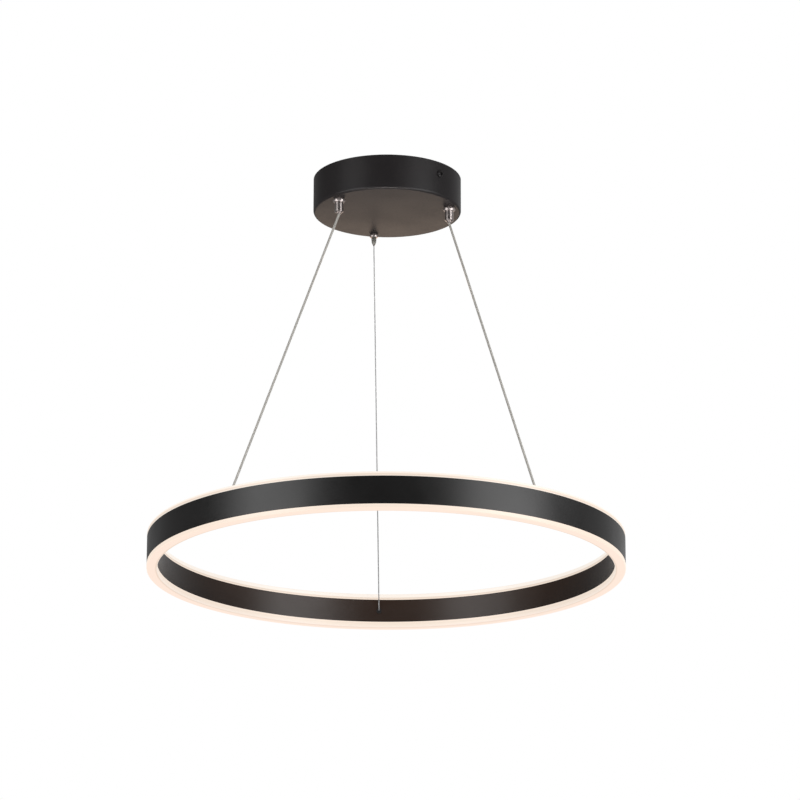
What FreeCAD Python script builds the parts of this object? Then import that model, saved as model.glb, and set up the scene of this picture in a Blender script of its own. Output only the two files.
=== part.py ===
import FreeCAD, Part
import math
import os

# LED pendant light: a round ceiling canopy, three cable grippers, three taut
# suspension lines and a ring that shines up and down.
# Millimetres. Origin: centre of the ceiling face. +Z is up, the front is -Y.
# An azimuth is in degrees from the front, towards +X.

V = FreeCAD.Vector
UP = V(0, 0, 1)
ORIGIN = V(0, 0, 0)

# General clearances and cutting values
running_clearance = 0.05
wire_clearance = 0.2
assembly_gap = 0.3
seat_gap = 0.03
cut_overrun = 1.0

# Ceiling canopy, a drawn steel cup
canopy_diameter = 190.0
canopy_height = 45.5
canopy_wall = 1.0
canopy_edge_radius = 3.0

# Ceiling bracket, a steel bar with two ears turned down
bracket_thickness = 1.5
bracket_width = 30.0
bracket_ear_width = 16.0
bracket_ear_height = 24.0
bracket_bend_radius = 2.5
bracket_taper_length = 13.0
bracket_wall_gap = 0.8
ceiling_hole_circle = 70.0
ceiling_hole_radius = 2.6
ceiling_slot_offset = 58.0
ceiling_slot_length = 18.0
supply_hole_radius = 10.0

# Side screws that hold the canopy on the bracket's ears
side_screw_azimuth = 44.7
side_screw_depth = 16.2
side_screw_radius = 2.0
side_screw_length = 9.0
side_screw_head_radius = 4.8
side_screw_head_height = 2.4
side_screw_socket_radius = 2.4
side_screw_socket_depth = 1.8

# Cable grippers on the canopy's underside
gripper_edge_distance = 12.2
left_gripper_azimuth = -47.8
right_gripper_azimuth = 73.4
rear_gripper_azimuth = 192.0
gripper_azimuths = {
    "left": left_gripper_azimuth, "right": right_gripper_azimuth, "rear": rear_gripper_azimuth}

# The two power grippers, front left and front right
power_cable_radius = 1.5
power_stud_radius = 5.0
power_stud_spare_length = 3.0
power_barrel_radius = 5.5
power_barrel_length = 13.6
power_nose_chamfer = 1.4
power_nose_length = 1.3
power_collar_flats_width = 14.4
power_collar_height = 5.6
power_locknut_height = 4.0
power_chamber_radius = 4.1
power_cone_length = 4.0
power_guide_length = 3.6
power_plunger_radius = 2.9
power_plunger_reach_length = 2.0
power_flange_thickness = 0.8
power_ball_radius = 0.8
power_cap_length = 3.0
power_spring_wire_radius = 0.3
power_spring_coils = 6

# The rear gripper, for the plain steel wire
rear_wire_radius = 0.75
rear_stud_radius = 3.0
rear_stud_spare_length = 2.0
rear_barrel_radius = 3.2
rear_barrel_length = 9.4
rear_nose_chamfer = 1.3
rear_nose_length = 6.0
rear_collar_flats_width = 10.8
rear_collar_height = 4.6
rear_locknut_height = 2.6
rear_chamber_radius = 2.2
rear_cone_length = 2.6
rear_guide_length = 2.4
rear_plunger_radius = 1.4
rear_plunger_reach_length = 1.5
rear_flange_thickness = 0.6
rear_ball_radius = 0.5
rear_cap_length = 2.2
rear_spring_wire_radius = 0.2
rear_spring_coils = 6

balls_per_gripper = 3
nut_chamfer_share = 0.16
ball_azimuths = [360 * i / balls_per_gripper for i in range(balls_per_gripper)]

# The light ring
ring_diameter = 600.0
ring_drop_height = 500.0
ring_width = 13.5
outer_wall_height = 34.5
inner_wall_height = 30.0
ring_wall = 1.4
web_thickness = 1.2
wiring_channel_height = 12.0
seam_width = 0.15
seam_azimuth = 150.0

# Opal diffusers, clipped into the top and the bottom of the ring
diffuser_overall_height = 45.5
diffuser_corner_radius = 1.5
diffuser_cap_thickness = 2.0
diffuser_leg_thickness = 1.2
diffuser_leg_end_height = 10.6
diffuser_clip_clearance = 0.1

# Light strips on the webs
strip_width = 8.0
strip_thickness = 0.6
chip_length = 3.5
chip_width = 2.8
chip_height = 0.8
chips_per_strip = 60

# Ends of the suspension lines in the ring's inner wall
left_anchor_azimuth = -43.3
right_anchor_azimuth = 41.1
rear_anchor_azimuth = -178.13
anchor_azimuths = {
    "left": left_anchor_azimuth, "right": right_anchor_azimuth, "rear": rear_anchor_azimuth}
bush_flange_radius = 3.4
bush_flange_thickness = 1.0
bush_barrel_radius = 2.6
bush_reach_length = 1.0
ferrule_radius = 2.4
ferrule_length = 4.5
line_end_gap = 0.3

# Feed leads inside the ring
feed_lead_radius = 0.6
feed_lead_offset_length = 6.0
feed_lead_stand_height = 0.4
feed_branch_radius = 0.5
feed_branch_bend_length = 2.6

# Joint insert behind the ring's seam
joint_plate_length = 44.0
joint_plate_width = 7.5
joint_plate_height = 8.0
joint_screw_radius = 1.5
joint_screw_length = 9.0
joint_screw_pitch = 10.0
joint_screw_access_radius = 1.2

# Driver in the canopy
driver_length = 100.0
driver_width = 40.0
driver_height = 24.0
driver_wall = 1.6
driver_cover_thickness = 2.0
driver_ear_length = 9.0
driver_ear_thickness = 2.0
driver_ear_width = 16.0
driver_offset_y = 8.0
board_thickness = 1.6
board_stand_height = 3.0
transformer_size = 20.0
transformer_height = 14.0
capacitor_radius = 4.0
capacitor_height = 13.0
power_chip_length = 8.0
power_chip_width = 3.0
power_chip_height = 10.0

# Welded studs and nuts on the canopy's floor
stud_radius = 2.0
stud_height = 8.0
stud_nut_flats_width = 7.0
stud_nut_height = 3.2

# Supply terminal block
terminal_length = 32.0
terminal_width = 18.0
terminal_height = 14.0
terminal_foot_length = 9.0
terminal_foot_thickness = 2.0
terminal_screw_radius = 2.0
terminal_screw_pitch_x = 10.0
terminal_screw_pitch_y = 9.0
terminal_screw_depth = 4.0
terminal_screw_sink_depth = 0.6
terminal_screw_slot_width = 0.8
terminal_wire_height = 5.0
terminal_centre_x = 8.0
terminal_centre_y = -47.0

# Earth point and the leads in the canopy
earth_stud_x = -24.0
earth_stud_y = -56.0
earth_tag_radius = 4.0
earth_tag_thickness = 0.8
earth_tongue_length = 6.5
lead_radius = 1.0
lead_pad_length = 5.0
lead_exit_length = 7.5
output_crimp_radius = 2.5
output_crimp_length = 13.0
output_crimp_depth = 4.0
positive_crimp_aside = 12.2
positive_crimp_advance = 5.3
positive_crimp_height = 11.8
negative_crimp_advance = 27.2
negative_crimp_height = 21.8
crimp_approach_length = 5.0
tail_rise_height = 9.5

# Worked out from the sizes above
canopy_radius = canopy_diameter / 2
canopy_inner_radius = canopy_radius - canopy_wall
gripper_circle_radius = canopy_radius - gripper_edge_distance
underside_z = -canopy_height
floor_z = underside_z + canopy_wall
ring_outer_radius = ring_diameter / 2
ring_inner_radius = ring_outer_radius - ring_width
ring_mean_radius = (ring_outer_radius + ring_inner_radius) / 2
outer_half = outer_wall_height / 2
inner_half = inner_wall_height / 2
channel_half = wiring_channel_height / 2
web_face = channel_half + web_thickness
diffuser_half = diffuser_overall_height / 2


def polar(azimuth, radius, z):
    """Point at an azimuth, a radius and a height."""
    a = math.radians(azimuth)
    return V(radius * math.sin(a), -radius * math.cos(a), z)


def bend(first, corner, last):
    """Arc that leaves first towards a corner and reaches last from it, as far from the corner as first is."""
    into, out = corner - first, last - corner
    turn = into.getAngle(out)
    radius = into.Length / math.tan(turn / 2)
    inwards = (V(out).normalize() - V(into).normalize()).normalize()
    return Part.Arc(first, corner + inwards * (radius / math.cos(turn / 2) - radius), last).toShape()


def face_of(points, radii=None):
    """Flat face in the X-Z plane from (x, z) corners; a corner with a radius is rounded."""
    corners = [V(x, 0, z) for x, z in points]
    radii = radii or {}
    edges, ends = [], []
    for i, corner in enumerate(corners):
        into = (corner - corners[i - 1]).normalize()
        out = (corners[(i + 1) % len(corners)] - corner).normalize()
        tangent = radii.get(i, 0) * math.tan(into.getAngle(out) / 2)
        ends.append((corner - into * tangent, corner + out * tangent))
    for i, corner in enumerate(corners):
        first, last = ends[i]
        if i in radii:
            edges.append(bend(first, corner, last))
        edges.append(Part.LineSegment(last, ends[(i + 1) % len(corners)][0]).toShape())
    return Part.Face(Part.Wire(edges))


def turned(points, radii=None, angle=360):
    """Solid of revolution about Z from (radius, z) corners."""
    return face_of(points, radii).revolve(ORIGIN, UP, angle)


def rod(radius, start, end):
    """Round bar from one point to another."""
    return Part.makeCylinder(radius, (end - start).Length, start, end - start)


def block(x0, x1, y0, y1, z0, z1):
    """Box between two corners."""
    return Part.makeBox(x1 - x0, y1 - y0, z1 - z0, V(x0, y0, z0))


def at(shape, x, y, z, turn=0):
    """Copy of a shape, turned about Z and moved."""
    placed = shape.copy()
    placed.rotate(ORIGIN, UP, turn)
    placed.translate(V(x, y, z))
    return placed


def hex_prism(flats, bottom, top):
    """Six-sided bar with a flat at the front."""
    corner = flats / math.sqrt(3)
    points = [polar(60 * i + 30, corner, bottom) for i in range(7)]
    return Part.Face(Part.makePolygon(points)).extrude(V(0, 0, top - bottom))


def nut(flats, height, bore_radius):
    """Hexagon nut with both ends chamfered, standing on z = 0."""
    corner = flats / math.sqrt(3)
    fall = corner * nut_chamfer_share
    inner = flats / 2 * (1 - nut_chamfer_share / 2)
    outline = [(0, 0), (inner, 0), (corner, fall), (corner, height - fall), (inner, height), (0, height)]
    bore = rod(bore_radius, V(0, 0, -cut_overrun), V(0, 0, height + cut_overrun))
    return hex_prism(flats, 0, height).common(turned(outline)).cut(bore)


def tube(name, points, radius):
    """Round lead along straight runs joined by tangent arcs as wide as the runs allow."""
    edges, start, radii = [], points[0], []
    for before, corner, after in zip(points, points[1:], points[2:]):
        run_in, run_out = corner - before, after - corner
        tangent = 0.45 * min(run_in.Length, run_out.Length)
        radii.append(round(tangent / math.tan(run_in.getAngle(run_out) / 2), 1))
        first, last = corner - run_in.normalize() * tangent, corner + run_out.normalize() * tangent
        edges.append(Part.LineSegment(start, first).toShape())
        edges.append(bend(first, corner, last))
        start = last
    edges.append(Part.LineSegment(start, points[-1]).toShape())
    path = Part.Wire(edges)
    ring = Part.Wire(Part.makeCircle(radius, points[0], points[1] - points[0]))
    solid = path.makePipeShell([ring], True, False)
    share = solid.Volume / (math.pi * radius ** 2 * path.Length)
    print(name, "length", round(path.Length, 1), "arc radii", radii, "volume share", round(share, 4))
    return solid


def helix_bar(wire, coil, low, high, turns):
    """Spring wire on a helix about Z, as two tangent arcs for each quarter turn."""
    steps = 4 * turns
    slope = (high - low) / (2 * math.pi * turns)
    points = [polar(90 * i, coil, low + (high - low) * i / steps) for i in range(steps + 1)]
    ways = [(polar(90 * i + 90, coil, slope)).normalize() for i in range(steps + 1)]
    edges = []
    for i in range(steps):
        span, way, next_way = points[i + 1] - points[i], ways[i], ways[i + 1]
        along_both, spread = span.dot(way + next_way), 2 * (1 - way.dot(next_way))
        reach = (math.sqrt(along_both ** 2 + spread * span.dot(span)) - along_both) / spread
        first, second = points[i] + way * reach, points[i + 1] - next_way * reach
        middle = (first + second) * 0.5
        edges += [bend(points[i], first, middle), bend(middle, second, points[i + 1])]
    ring = Part.Wire(Part.makeCircle(wire, points[0], ways[0]))
    return Part.Wire(edges).makePipeShell([ring], True, False)


def inside(x_share, y_share, z_share):
    """Point in the canopy, as shares of its inner radius and of its height above the floor."""
    height = floor_z + z_share * canopy_height
    return V(x_share * canopy_inner_radius, y_share * canopy_inner_radius, height)


parts = {}


# Ceiling bracket

def make_bracket():
    reach = canopy_inner_radius - bracket_wall_gap
    inner = reach - bracket_thickness
    bend = bracket_bend_radius
    outline = [(-reach, 0), (reach, 0), (reach, -bracket_ear_height), (inner, -bracket_ear_height),
               (inner, -bracket_thickness), (-inner, -bracket_thickness), (-inner, -bracket_ear_height),
               (-reach, -bracket_ear_height)]
    rounds = {0: bend, 1: bend, 4: bend - bracket_thickness, 5: bend - bracket_thickness}
    bar = face_of(outline, rounds)
    bar.translate(V(0, -bracket_width / 2, 0))
    bar = bar.extrude(V(0, bracket_width, 0))
    foot = -bracket_ear_height - cut_overrun
    trim = block(reach - bracket_taper_length, reach + cut_overrun, bracket_ear_width / 2, bracket_width,
                 foot, cut_overrun)
    other = trim.mirror(ORIGIN, V(0, 1, 0))
    bar = bar.cut([trim, other, at(trim, 0, 0, 0, 180), at(other, 0, 0, 0, 180)])
    low, high = -bracket_thickness - cut_overrun, cut_overrun
    bar = bar.cut(rod(supply_hole_radius, V(0, 0, low), V(0, 0, high)))
    slot_half = ceiling_slot_length / 2 - ceiling_hole_radius
    for side in (-1, 1):
        hole_x = side * ceiling_hole_circle / 2
        bar = bar.cut(rod(ceiling_hole_radius, V(hole_x, 0, low), V(hole_x, 0, high)))
        slot_x = side * ceiling_slot_offset
        for end in (-slot_half, slot_half):
            bar = bar.cut(rod(ceiling_hole_radius, V(slot_x + end, 0, low), V(slot_x + end, 0, high)))
        slot = block(slot_x - slot_half, slot_x + slot_half, -ceiling_hole_radius, ceiling_hole_radius,
                     low, high)
        bar = bar.cut(slot)
    bar = bar.cut(rod(side_screw_radius + running_clearance, V(-canopy_radius, 0, -side_screw_depth),
                      V(canopy_radius, 0, -side_screw_depth)))
    return at(bar, 0, 0, 0, side_screw_azimuth - 90)


parts["ceiling_bracket"] = make_bracket()


# Canopy shell, with its holes

def floor_hole(shape, x, y, radius):
    """Cut a round hole through the canopy's floor."""
    return shape.cut(rod(radius, V(x, y, underside_z - cut_overrun), V(x, y, floor_z + cut_overrun)))


def make_canopy():
    inner_edge = canopy_edge_radius - canopy_wall
    outline = [(0, underside_z), (canopy_radius, underside_z), (canopy_radius, 0), (canopy_inner_radius, 0),
               (canopy_inner_radius, floor_z), (0, floor_z)]
    shell = turned(outline, {1: canopy_edge_radius, 4: inner_edge})
    for name, azimuth in gripper_azimuths.items():
        place = polar(azimuth, gripper_circle_radius, 0)
        stud = rear_stud_radius if name == "rear" else power_stud_radius
        shell = floor_hole(shell, place.x, place.y, stud + running_clearance)
    for turn in (0, 180):
        start = polar(side_screw_azimuth + turn, canopy_inner_radius - cut_overrun, -side_screw_depth)
        end = polar(side_screw_azimuth + turn, canopy_radius + cut_overrun, -side_screw_depth)
        shell = shell.cut(rod(side_screw_radius + wire_clearance, start, end))
    return shell


parts["canopy_shell"] = make_canopy()


# Side screws: a domed head with a hexagon socket, and a shank into the bracket's ear

def make_side_screw():
    head, top = side_screw_head_radius, side_screw_head_height
    shank, tip = side_screw_radius, -side_screw_length
    screw = turned([(0, tip), (shank, tip), (shank, 0), (head, 0), (head, top), (0, top)], {4: top * 0.8})
    socket = hex_prism(2 * side_screw_socket_radius, top - side_screw_socket_depth, top + cut_overrun)
    return screw.cut(socket)


def side_screw_at(azimuth):
    screw = make_side_screw()
    screw.rotate(ORIGIN, V(1, 0, 0), 90)
    screw.rotate(ORIGIN, UP, azimuth)
    screw.translate(polar(azimuth, canopy_radius + seat_gap, -side_screw_depth))
    return screw


parts["canopy_side_screws"] = Part.makeCompound(
    [side_screw_at(side_screw_azimuth + turn) for turn in (0, 180)])


# Cable grippers. Local heights run up from the canopy's underside.

class Gripper:
    """Sizes of one cable gripper and the heights that follow from them."""

    def __init__(self, cable, stud, stud_spare, barrel, barrel_length, nose_chamfer, nose_length, flats,
                 collar, locknut, chamber, cone, guide, plunger, reach, flange, ball, cap, spring_wire,
                 spring_coils):
        self.cable, self.stud, self.barrel = cable, stud, barrel
        self.nose_chamfer, self.nose_length = nose_chamfer, nose_length
        self.flats, self.collar, self.locknut = flats, collar, locknut
        self.chamber, self.cone, self.plunger, self.flange = chamber, cone, plunger, flange
        self.ball, self.cap = ball, cap
        self.spring_wire, self.spring_coils = spring_wire, spring_coils
        self.top = canopy_wall + locknut + stud_spare
        self.bottom = -collar - barrel_length
        self.cone_bottom = self.bottom + guide
        self.cone_top = self.cone_bottom + cone
        self.nose = self.bottom - reach
        self.guide_radius = plunger + running_clearance
        self.spring_low = self.cone_top + flange
        self.spring_high = self.top - cap
        self.line_start = self.nose - line_end_gap

    def body(self):
        nose_top = self.bottom + self.nose_length
        outline = [(self.guide_radius, self.bottom), (self.barrel - self.nose_chamfer, self.bottom),
                   (self.barrel, nose_top), (self.barrel, -self.collar), (self.stud, -self.collar),
                   (self.stud, self.top), (self.chamber, self.top), (self.chamber, self.cone_top),
                   (self.guide_radius, self.cone_bottom)]
        return turned(outline)

    def ball_place(self):
        """Radius and height of a ball's centre, where it lies on the line and in the cone."""
        fall = (self.chamber - self.guide_radius) / self.cone
        radius = self.cable + self.ball + seat_gap
        wall = radius + (self.ball + seat_gap) * math.hypot(1, fall)
        return radius, self.cone_top - (self.chamber - wall) / fall

    def plunger_solid(self):
        bore = self.cable + wire_clearance
        wide = self.chamber - wire_clearance
        tip = (self.plunger - bore) / 2
        solid = turned([(bore, self.nose), (self.plunger - tip, self.nose), (self.plunger, self.nose + tip),
                        (self.plunger, self.cone_top), (wide, self.cone_top), (wide, self.spring_low),
                        (bore, self.spring_low)])
        height = self.ball_place()[1]
        for azimuth in ball_azimuths:
            outside = polar(azimuth, 2 * self.plunger, height)
            hole = rod(self.ball + running_clearance, V(0, 0, height), outside)
            solid = solid.cut(hole)
        return solid

    def balls(self):
        radius, height = self.ball_place()
        centres = [polar(azimuth, radius, height) for azimuth in ball_azimuths]
        return Part.makeCompound([Part.makeSphere(self.ball, centre) for centre in centres])

    def cap_solid(self):
        bore = self.cable + wire_clearance
        wide = self.chamber - running_clearance
        low, high = self.spring_high, self.top
        return turned([(bore, low), (wide, low), (wide, high), (bore, high)])

    def spring(self):
        coil = self.chamber - wire_clearance - self.spring_wire
        low = self.spring_low + self.spring_wire + seat_gap
        high = self.spring_high - self.spring_wire - seat_gap
        return helix_bar(self.spring_wire, coil, low, high, self.spring_coils)

    def collar_nut(self):
        return at(nut(self.flats, self.collar, self.stud + running_clearance), 0, 0, -self.collar)

    def lock_nut(self):
        return at(nut(self.flats, self.locknut, self.stud + running_clearance), 0, 0, canopy_wall)


power_gripper = Gripper(
    power_cable_radius, power_stud_radius, power_stud_spare_length, power_barrel_radius,
    power_barrel_length, power_nose_chamfer, power_nose_length, power_collar_flats_width,
    power_collar_height, power_locknut_height, power_chamber_radius, power_cone_length,
    power_guide_length, power_plunger_radius, power_plunger_reach_length, power_flange_thickness,
    power_ball_radius, power_cap_length, power_spring_wire_radius, power_spring_coils)
rear_gripper = Gripper(
    rear_wire_radius, rear_stud_radius, rear_stud_spare_length, rear_barrel_radius, rear_barrel_length,
    rear_nose_chamfer, rear_nose_length, rear_collar_flats_width, rear_collar_height,
    rear_locknut_height, rear_chamber_radius, rear_cone_length, rear_guide_length, rear_plunger_radius,
    rear_plunger_reach_length, rear_flange_thickness, rear_ball_radius, rear_cap_length,
    rear_spring_wire_radius, rear_spring_coils)
grippers = {"left": power_gripper, "right": power_gripper, "rear": rear_gripper}


def on_canopy(name, shape):
    """Put a gripper's piece at its place on the canopy."""
    place = polar(gripper_azimuths[name], gripper_circle_radius, underside_z)
    return at(shape, place.x, place.y, place.z)


for name, gripper in grippers.items():
    parts[name + "_gripper_body"] = on_canopy(name, gripper.body())
    parts[name + "_gripper_plunger"] = on_canopy(name, gripper.plunger_solid())
    parts[name + "_gripper_balls"] = on_canopy(name, gripper.balls())
    parts[name + "_gripper_spring"] = on_canopy(name, gripper.spring())

power_sides = ("left", "right")


def on_power_grippers(shape):
    """The same piece on both power grippers."""
    return Part.makeCompound([on_canopy(side, shape) for side in power_sides])


parts["power_gripper_collar_nuts"] = on_power_grippers(power_gripper.collar_nut())
parts["power_gripper_lock_nuts"] = on_power_grippers(power_gripper.lock_nut())
parts["power_gripper_caps"] = on_power_grippers(power_gripper.cap_solid())
parts["rear_gripper_collar_nut"] = on_canopy("rear", rear_gripper.collar_nut())
parts["rear_gripper_lock_nut"] = on_canopy("rear", rear_gripper.lock_nut())
parts["rear_gripper_cap"] = on_canopy("rear", rear_gripper.cap_solid())


# The ring: a rolled aluminium profile with two walls and two webs

def ring_point(azimuth, radius, height):
    """Point on the ring; the height is from the ring's middle."""
    return polar(azimuth, radius, height - ring_drop_height)


def on_ring(shape):
    return at(shape, 0, 0, -ring_drop_height)


def feed_azimuth(name):
    """Azimuth of the feed lead beside a line's end."""
    return anchor_azimuths[name] + math.degrees(feed_lead_offset_length / ring_mean_radius)


def joint_screw_azimuths():
    """Azimuths of the joint insert's grub screws, two on each side of the seam."""
    steps = (-1.5, -0.5, 0.5, 1.5)
    return [seam_azimuth + math.degrees(step * joint_screw_pitch / ring_mean_radius) for step in steps]


def make_ring_profile():
    inner, outer, wall = ring_inner_radius, ring_outer_radius, ring_wall
    outline = face_of([
        (inner, -inner_half), (inner + wall, -inner_half), (inner + wall, -web_face),
        (outer - wall, -web_face), (outer - wall, -outer_half), (outer, -outer_half),
        (outer, outer_half), (outer - wall, outer_half), (outer - wall, web_face),
        (inner + wall, web_face), (inner + wall, inner_half), (inner, inner_half)])
    channel = face_of([(inner + wall, -channel_half), (outer - wall, -channel_half),
                       (outer - wall, channel_half), (inner + wall, channel_half)])
    profile = outline.cut(channel).Faces[0].revolve(ORIGIN, UP, 360)
    for azimuth in anchor_azimuths.values():
        start = polar(azimuth, inner - cut_overrun, 0)
        end = polar(azimuth, inner + wall + cut_overrun, 0)
        profile = profile.cut(rod(bush_barrel_radius + running_clearance, start, end))
    for name in power_sides:
        foot = polar(feed_azimuth(name), ring_mean_radius, -web_face - cut_overrun)
        head = polar(feed_azimuth(name), ring_mean_radius, web_face + cut_overrun)
        profile = profile.cut(rod(feed_lead_radius + wire_clearance, foot, head))
    for azimuth in joint_screw_azimuths():
        foot = polar(azimuth, ring_mean_radius, -web_face - cut_overrun)
        head = polar(azimuth, ring_mean_radius, -channel_half + cut_overrun)
        profile = profile.cut(rod(joint_screw_access_radius, foot, head))
    seam = block(-seam_width / 2, seam_width / 2, inner - cut_overrun, outer + cut_overrun,
                 -outer_wall_height, outer_wall_height)
    return on_ring(profile.cut(at(seam, 0, 0, 0, seam_azimuth - 180)))


def make_diffuser(side):
    """Channel-shaped opal cap; side is 1 for the upper one and -1 for the lower."""
    inner, outer, top = ring_inner_radius, ring_outer_radius, diffuser_half
    inner_clip = inner + ring_wall + diffuser_clip_clearance
    outer_clip = outer - ring_wall - diffuser_clip_clearance
    leg, roof, end = diffuser_leg_thickness, top - diffuser_cap_thickness, diffuser_leg_end_height
    corner = diffuser_corner_radius
    points = [(outer, outer_half + seat_gap), (outer, top), (inner, top), (inner, inner_half + seat_gap),
              (inner_clip, inner_half + seat_gap), (inner_clip, end), (inner_clip + leg, end),
              (inner_clip + leg, roof), (outer_clip - leg, roof), (outer_clip - leg, end),
              (outer_clip, end), (outer_clip, outer_half + seat_gap)]
    cap = turned(points, {1: corner, 2: corner, 7: corner / 2, 8: corner / 2})
    if side < 0:
        cap.rotate(ORIGIN, V(1, 0, 0), 180)
    return on_ring(cap)


def make_strip(side):
    """Light strip on a web, with a hole at each feed lead."""
    half = strip_width / 2
    strip = turned([(ring_mean_radius - half, web_face), (ring_mean_radius + half, web_face),
                    (ring_mean_radius + half, web_face + strip_thickness),
                    (ring_mean_radius - half, web_face + strip_thickness)])
    if side < 0:
        strip.rotate(ORIGIN, V(1, 0, 0), 180)
    for name in power_sides:
        foot = polar(feed_azimuth(name), ring_mean_radius, -outer_half)
        head = polar(feed_azimuth(name), ring_mean_radius, outer_half)
        strip = strip.cut(rod(feed_lead_radius + running_clearance, foot, head))
    return on_ring(strip)


def make_chips(side):
    """Evenly spaced light chips on a strip, clear of the feed leads."""
    low = web_face + strip_thickness
    low, high = (low, low + chip_height) if side > 0 else (-low - chip_height, -low)
    chip = block(-chip_length / 2, chip_length / 2, -chip_width / 2, chip_width / 2, low, high)
    chips = []
    for i in range(chips_per_strip):
        azimuth = 360 * (i + 0.5) / chips_per_strip
        place = ring_point(azimuth, ring_mean_radius, 0)
        chips.append(at(chip, place.x, place.y, place.z, azimuth))
    return Part.makeCompound(chips)


parts["ring_profile"] = make_ring_profile()
for word, side in (("upper", 1), ("lower", -1)):
    parts[word + "_diffuser"] = make_diffuser(side)
    parts[word + "_led_strip"] = make_strip(side)
    parts[word + "_led_chips"] = make_chips(side)


# Joint insert across the seam, with grub screws that jack it between the webs

def make_joint_plate():
    inner, outer = ring_mean_radius - joint_plate_width / 2, ring_mean_radius + joint_plate_width / 2
    angle = math.degrees(joint_plate_length / ring_mean_radius)
    low, high = -channel_half, -channel_half + joint_plate_height
    plate = turned([(inner, low), (outer, low), (outer, high), (inner, high)], angle=angle)
    plate = at(plate, 0, 0, 0, seam_azimuth - 90 - angle / 2)
    for azimuth in joint_screw_azimuths():
        foot = polar(azimuth, ring_mean_radius, low - cut_overrun)
        head = polar(azimuth, ring_mean_radius, high + cut_overrun)
        plate = plate.cut(rod(joint_screw_radius + running_clearance, foot, head))
    return on_ring(plate)


def make_joint_screws():
    high = channel_half
    low = high - joint_screw_length
    return Part.makeCompound([
        rod(joint_screw_radius, ring_point(a, ring_mean_radius, low), ring_point(a, ring_mean_radius, high))
        for a in joint_screw_azimuths()])


parts["ring_joint_plate"] = make_joint_plate()
parts["ring_joint_screws"] = make_joint_screws()


# Ends of the lines in the ring: bush, stub of the line and crimped ferrule

bush_face = ring_inner_radius - seat_gap - bush_flange_thickness
ferrule_start = ring_inner_radius + ring_wall + bush_reach_length
ferrule_end = ferrule_start + ferrule_length


def along(azimuth, radius_from, radius_to, thickness):
    """Round bar on the ring's mid-height, along the radius."""
    return rod(thickness, ring_point(azimuth, radius_from, 0), ring_point(azimuth, radius_to, 0))


def make_bush(azimuth, line_radius):
    flange = along(azimuth, bush_face, bush_face + bush_flange_thickness, bush_flange_radius)
    barrel = along(azimuth, bush_face, ferrule_start, bush_barrel_radius)
    bore = along(azimuth, bush_face - cut_overrun, ferrule_start + cut_overrun,
                 line_radius + wire_clearance)
    return flange.fuse(barrel).removeSplitter().cut(bore)


def make_ferrule(azimuth, line_radius):
    sleeve = along(azimuth, ferrule_start, ferrule_end, ferrule_radius)
    bore = along(azimuth, ferrule_start - cut_overrun, ferrule_end + cut_overrun, line_radius + seat_gap)
    return sleeve.cut(bore)


def make_stub(azimuth, line_radius):
    return along(azimuth, bush_face, ferrule_end, line_radius)


parts["line_entry_bushes"] = Part.makeCompound(
    [make_bush(anchor_azimuths[side], grippers[side].cable) for side in grippers])
parts["power_cable_ferrules"] = Part.makeCompound(
    [make_ferrule(anchor_azimuths[s], power_cable_radius) for s in power_sides])
parts["rear_wire_ferrule"] = make_ferrule(anchor_azimuths["rear"], rear_wire_radius)
parts["power_cable_ends"] = Part.makeCompound(
    [make_stub(anchor_azimuths[s], power_cable_radius) for s in power_sides])
parts["rear_wire_end"] = make_stub(anchor_azimuths["rear"], rear_wire_radius)


# Feed leads: from a ferrule up and down to both light strips

def make_feed_lead(name):
    reach = web_face + strip_thickness + feed_lead_stand_height
    azimuth = feed_azimuth(name)
    post = rod(feed_lead_radius, ring_point(azimuth, ring_mean_radius, -reach),
               ring_point(azimuth, ring_mean_radius, reach))
    start = ring_point(anchor_azimuths[name], ferrule_end + seat_gap, 0)
    corner = ring_point(anchor_azimuths[name], ferrule_end + feed_branch_bend_length, 0)
    end = ring_point(azimuth, ring_mean_radius, 0)
    return post.fuse(tube(name + "_feed_lead", [start, corner, end], feed_branch_radius))


for name in power_sides:
    parts[name + "_feed_lead"] = make_feed_lead(name)


# The three taut suspension lines, cut level at the gripper and upright at the ring

def make_line(name, radius):
    gripper = grippers[name]
    top = polar(gripper_azimuths[name], gripper_circle_radius, underside_z + gripper.line_start)
    end = ring_point(anchor_azimuths[name], bush_face - line_end_gap, 0)
    way = V(end - top).normalize()
    spare = way * (8 * radius)
    bar = rod(radius, top - spare, end + spare)
    above = block(-canopy_radius, canopy_radius, -canopy_radius, canopy_radius, top.z, 0)
    side = 64 * radius
    beyond = at(block(-side / 2, side / 2, -side, 0, -side / 2, side / 2), 0, 0, 0, anchor_azimuths[name])
    beyond.translate(end)
    bar = bar.cut([above, beyond])
    print(name, "line length", round((end - top).Length, 1))
    return bar


parts["left_power_cable"] = make_line("left", power_cable_radius)
parts["right_power_cable"] = make_line("right", power_cable_radius)
parts["rear_steel_wire"] = make_line("rear", rear_wire_radius)


# Driver: tray, cover, board and what stands on it

driver_floor = floor_z
driver_top = floor_z + driver_height
driver_x = driver_length / 2
driver_front = driver_offset_y - driver_width / 2
driver_back = driver_offset_y + driver_width / 2
stud_x = driver_x + driver_ear_length / 2


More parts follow.
